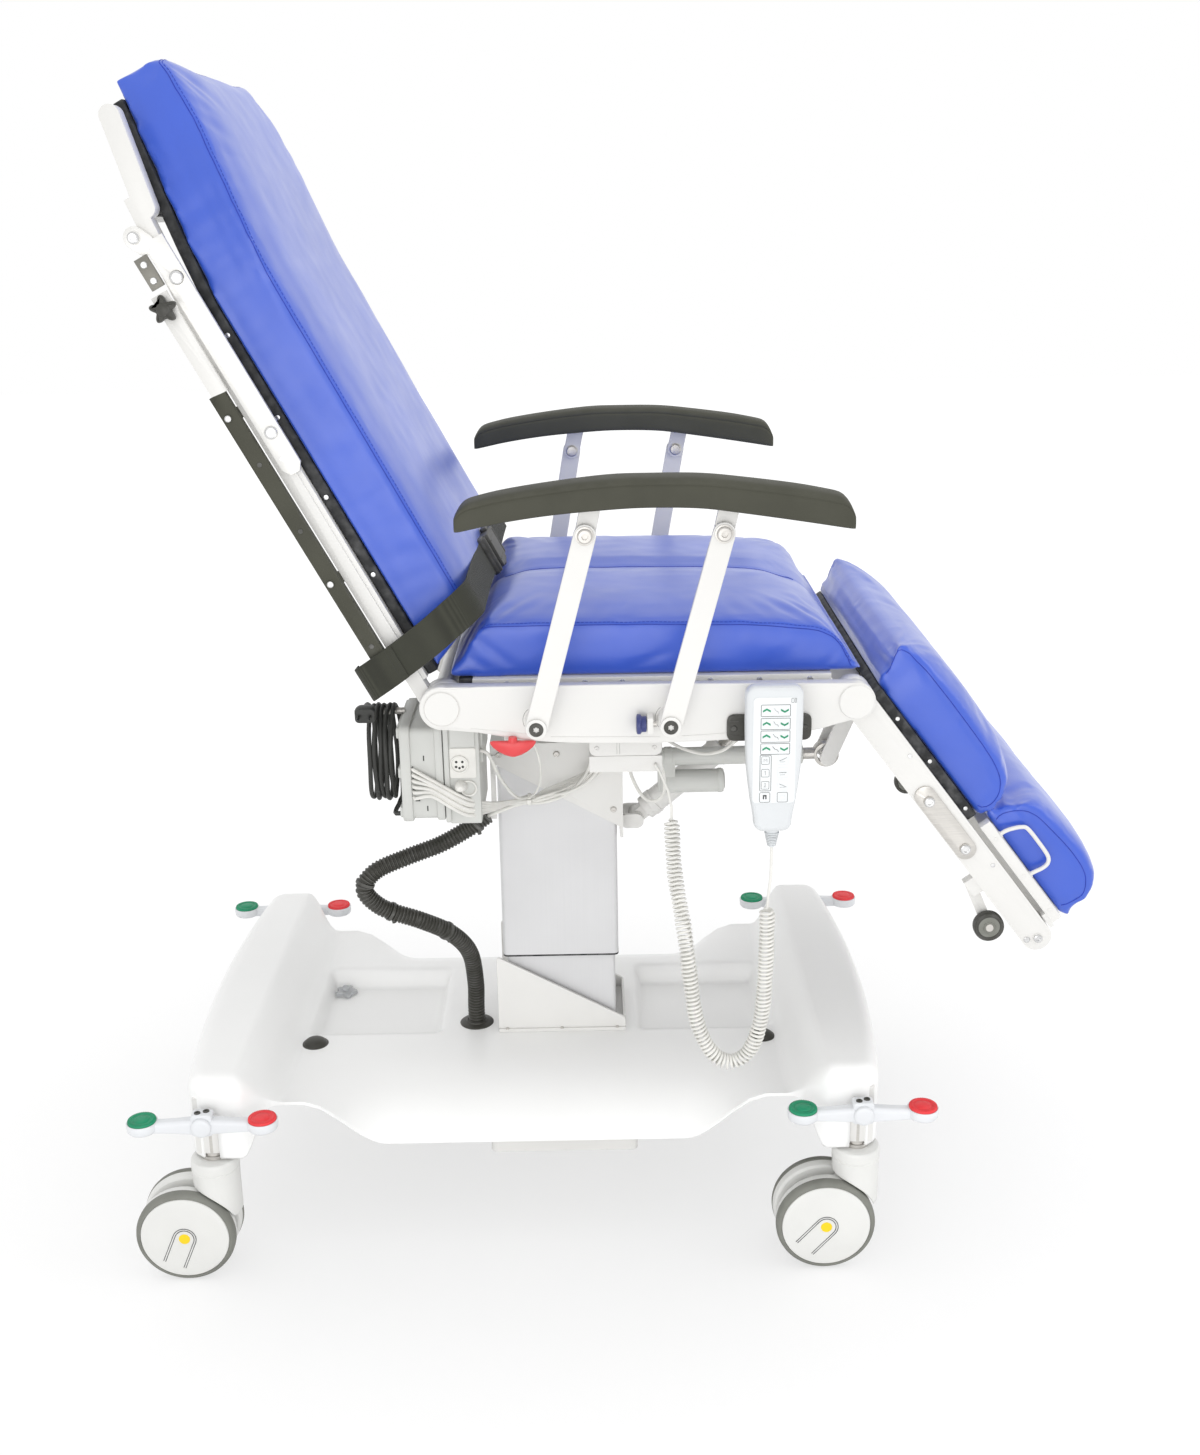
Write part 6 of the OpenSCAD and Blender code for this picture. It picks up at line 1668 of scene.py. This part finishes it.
def drive_trim(drive, base, tip, y, r, length, slot, motor=0):
    """Collars, end cap and screws along a drive, on its own axis from base to tip."""
    way = Vector((tip[0] - base[0], 0, tip[1] - base[1])).normalized()
    side = way.cross(FAR)
    at = Vector((base[0], y, base[1]))
    trim = Shape()

    def screws(n, first, height, reach, size, high):
        for k in range(n):
            a = first + 2 * pi * k / n
            out = cos(a) * side + sin(a) * FAR
            trim.stud(at + way * height + out * reach, way, size, size, high, high, 12)

    for h, grow, wide in ((30, 1.4, 12), (length - 16, 1.8, 16)):
        trim.lathe([(r - 2, h), (r + grow - 0.5, h), (r + grow, h + 0.8), (r + grow, h + wide - 0.8),
            (r + grow - 0.6, h + wide), (r - 2, h + wide)], at, way, 40, True)
    h = length * 0.5
    trim.lathe([(r - 1, h), (r + 0.35, h), (r + 0.35, h + 1.2), (r - 1, h + 1.2)], at, way, 40, True)
    screws(4, pi / 4, length - 0.4, r - 2.6, 1.9, 1.3)
    eye = at
    if motor:
        at = at + (side if side.z < 0 else -side) * (motor + 18)
        for h in (26, 112):
            trim.lathe([(16, h), (18.8, h), (19, h + 0.8), (19, h + 5), (18.6, h + 6), (16, h + 6)], at, way,
                40, True)
        trim.lathe([(0, 119.6), (14, 119.6), (14.6, 121), (12, 122.4), (0, 122.8)], at, way, 32)
        screws(3, 0, 119.6, 15.4, 1.7, 1.4)
    for s in (-1, 1):
        trim.bolt(eye + Vector((0, 18 * s, 0)), (0, s, 0), 7, 3.4)
    piece(f"{drive}_drive_trim", trim, f"{drive}_actuator_body", slot, angle=28)


drive_trim("leg", (176, 743), (453, 745), -120, 14, 241, "box_grey", 22)
drive_trim("back", (240, 831), (-144, 835), 120, 14, 288, "box_grey")
drive_trim("tilt", (165, 602), (345, 752), 0, 20, 182, "frame_white")


# Back section: frame, board, plates, bars and knobs

def local(p, place):
    """A point in model millimetres, seen in a section's own frame."""
    return place.inverted() @ Vector((p.x - ORIGIN_X, p.y, p.z))


def on_pivot(p):
    q = local(p, BACK)
    return hypot(q.x, q.z) < 9 and abs(p.y) > 300


SPLIT = 510
dressed("back_frame", ["frame_white", "steel"], bevel=1.4, mark=on_pivot)
dressed("back_deck", "board_black", bevel=2.0)
dressed("back_plates", ["plate_silver", "dark_steel"], bevel=1.0,
        mark=lambda p: abs(p.y) > 326.5 and 645 < local(p, BACK).z < 697)
dressed("back_bars", ["pad_dark", "frame_white"], bevel=1.0, cut=(BACK, SPLIT),
        mark=lambda p: local(p, BACK).z > SPLIT)
plates = Shape()
for v, y, u, r, h, socket in ((-5.8, -328.8, 428, 8.6, 3.4, 0.5), (-5.6, -328.8, 650, 8.6, 3.4, 0.5),
        (-26, -330.8, 716, 7.6, 3.2, 0.5), (-32, -331.9, 660, 4.6, 2.2, 0.42),
        (-32, -331.9, 682, 4.6, 2.2, 0.42)):
    plates.bolt((v, y, u), NEAR, r, h, socket)
for v, u in ((-12, 392), (-12, 560), (-14, 694)):
    plates.stud((v, -325.8, u), NEAR, 3.2, 3.0, 0.8, 1.1)
piece("plate_bolts", plates.both(), "back", "steel", finishes="chrome", place=BACK, angle=28)
bars = Shape()
for u in (120, 300, 400):
    bars.stud((-40, -334.9, u), NEAR, 3.4, 3.2, 0.9, 1.3)
for v in (-49.8, -30.2):
    bars.tube([(v, -333.4, 66), (v, -333.4, 498)], 1.1, 8)
piece("bar_rivets", bars.both(), "back", "pad_dark", finishes="black_plastic", place=BACK)
rivets = Shape()
for u in (220, 470):
    rivets.bolt((-43, -336.8, u), NEAR, 4.6, 2.0)
for u in (90, 200, 320, 440, 560):
    rivets.stud((7, -305.5, u), NEAR, 3.6, 3.2, 1.2, 1.8)
piece("bar_bolts", rivets.both(), "back", "steel", finishes="chrome", place=BACK)
lobes = [14.1 + 3.9 * c for c, s in circle(16)] * 5
star = [(-38 + r * c, 624 + r * s) for r, (c, s) in zip(lobes, circle(80))]
for side_name, s in SIDES.items():
    knob = Shape().plate(star, -348, -336.4, 2.6)
    knob.lathe([(0, 0), (8.6, 0), (8.2, 1.2), (6.6, 2.2), (0, 2.6)], (-38, -347.6, 624), NEAR)
    knob.pin(-38, 624, 7, -337, -335.2, 0.4)
    name = f"clamp_knob_{side_name}"
    piece(f"knob_{side_name}", knob.flip(s), f"{name}_body", "black_plastic", name, place=BACK, angle=40)

# Belt and buckle
STRAP = 51
belt_line = spline([(-80, -298, 74), (-80.6, -316, 75), (-77.4, -331.4, 77), (-66, -337.4, 79),
    (-30, -337.6, 83), (30, -337.6, 92), (78, -336.4, 102), (101, -331.4, 107), (113.2, -314, 109),
    (114.4, -280, 110), (114, -200, 110), (114, -120, 109), (115, -62, 108)], 8)


def strap(shape, path, thick):
    """A flat band with soft edges along a path; it stands along the third direction."""
    path = even(path, max(12, int(length_of(path) / 3)))
    w = STRAP / 2
    rings = []
    for p, t in zip(path, carried(path)[0]):
        out = UP.cross(t).normalized() * thick / 2
        rings.append([p + out * a + UP * b for a, b in ((-1, -w + 0.8), (-1, -w / 3), (-1, w / 3),
            (-1, w - 0.8), (0, w), (1, w - 0.8), (1, w / 3), (1, -w / 3), (1, -w + 0.8), (0, -w))])
    return shape.loft(rings)


belt = strap(Shape(), belt_line, 2.2)
strap(belt, [p + Vector((0, -2.0, 0)) for p in belt_line if p.x < -16 and p.y < -330], 1.8)
strap(belt, [Vector((112.6, -62 + 4 * k, 108 - 0.2 * k)) for k in range(6)], 2.2)
piece("belt_strap", belt.both(), "back", "webbing", "seat_belt", place=BACK, angle=50)
stitch = Shape()
for v, low in ((-20, 61.5), (-27, 60.45)):
    for j in range(18):
        u = low + 2.6 * j
        stitch.tube([(v, -340.2, u), (v, -340.4, u + 0.9), (v, -340.2, u + 1.7)], 0.42, 6)
piece("belt_stitches", stitch.both(), "back", "webbing", finishes="cord_black", place=BACK)

# Blocks of the buckle: from and to in depth, then Y and U of its two corners, the corner radius and the edge
buckle = Shape()
for sizes in ((112.6, 129.2, (-36, 80), (30, 136), 7, 2.4), (114, 127.4, (22, 84), (64, 132), 5, 2.4),
        (113.2, 122, (-64, 78), (-33, 138), 5, 1.8), (115, 126.6, (-60, 80), (-54, 136), 2.4, 1.4),
        (115, 125.2, (-47, 80), (-42, 136), 2.0, 1.4), (115, 128.2, (50, 86), (55, 130), 2.0, 1.4),
        (116, 126, (6, 74.5), (28, 82), 3, 1.6), (116, 126, (6, 134), (28, 141.5), 3, 1.6)):
    buckle.slab(*sizes, 5, 1)
for u in (92, 124):
    buckle.tube([(129.2, -30, u), (129.2, 20, u)], 0.9, 8)
piece("belt_buckle", buckle, "back", "black_plastic", place=BACK, angle=30)

# Leg and foot sections
dressed("leg_frame", ["frame_white", "steel"], bevel=1.2,
        mark=lambda p: abs(p.y) > 320.3 and 165 < local(p, LEG).x < 300)
dressed("leg_deck", "board_black", bevel=1.6)
dressed("foot_frame", ["frame_white", "steel"], bevel=1.2,
        mark=lambda p: 110 < local(p, LEG).x < 440 and abs(local(p, LEG).z) < 13 and abs(p.y) < 290)
trim = Shape()
for u in (191, 282):
    trim.bolt((u, -326.8, -5), NEAR, 7.6, 3.2, 0.5)
trim.bolt((465, -322.8, 0), NEAR, 6.4, 3.0, 0.5)
trim.lathe([(0, 0), (4.6, 0), (4.6, 1.6), (3.4, 2.4), (0, 2.4)], (458, -319.6, -14), NEAR, 18)
for u in (120, 330):
    trim.stud((u, -319.9, 12), NEAR, 3.6, 3.2, 1.0, 1.4)
for u in (70, 150, 240):
    trim.stud((u, -304.4, 29), NEAR, 3.2, 3.0, 1.0, 1.5)
piece("leg_bolts", trim.both(), "leg", "steel", finishes="chrome", place=LEG, angle=28)
caps = Shape()
for s in (-1, 1):
    caps.loft([[(u, s * (319.8 + h), w) for u, w in inset(link((14, 0), (462.5, 0), 18.4, 16), e)]
        for e, h in ((0, 0), (0.5, 0.35), (1.1, 0))])
piece("leg_rail_line", caps, "leg", "frame_white", place=LEG)
for side_name, s in SIDES.items():
    wheel = Shape()
    at = (410, -318, -46.5)
    wheel.lathe([(15.4, 2), (16, 0.6), (17.4, 0), (20.2, 0.3), (21.6, 1.6), (22, 4), (22, 12), (21.6, 14.4),
        (20.2, 15.7), (17.4, 16), (16, 15.4), (15.4, 14)], at, FAR, 48, True)
    wheel.paint(2)
    wheel.lathe([(4.2, 0.6), (8, 0.2), (9, 1.4), (15.6, 1.4), (15.6, 14.6), (9, 14.6), (8, 15.8),
        (4.2, 15.4)], at, FAR, 48, True)
    wheel.paint(1)
    wheel.lathe([(0, -1.4), (5.4, -1.4), (6.0, -0.6), (6.0, 1), (0, 1)], at, FAR, 24)
    wheel.pin(410, -46.5, 4, -306, -294, 0.5)
    piece(f"transport_wheel_{side_name}", wheel.flip(s), "transport_wheels_body", "black_plastic",
        "transport_wheels" if s < 0 else (), ["black_plastic", "steel", "wheel_grey"], place=LEG, angle=30)
grips = Shape()
grips.tube(spline([(u, -311, w) for u, w in ((301, 43), (301, 46), (301, 54), (304, 64), (310, 76),
    (318, 82), (344, 83), (370, 82), (380, 76), (382, 66), (380, 54), (379, 46), (379, 43))], 5), 3.05, 16)
for u in (301, 379):
    grips.lathe([(3, 0), (5.6, 0), (5.4, 1.4), (4.2, 2.2), (3, 2.2)], (u, -311, 45.8), n=24, loop=True)
piece("foot_grips", grips.both(), "foot", "frame_white", "foot_handles", place=LEG)
edging = Shape()
for s in (-1, 1):
    edging.tube([(275, s * 317.8, 30.4), (458, s * 317.8, 30.4)], 0.9, 8)
    for u in (300, 372, 440):
        edging.stud((u, s * 317.9, 38), (0, s, 0), 3.0, 2.8, 0.9, 1.3)
piece("foot_edging", edging, "foot", "frame_white", place=LEG)
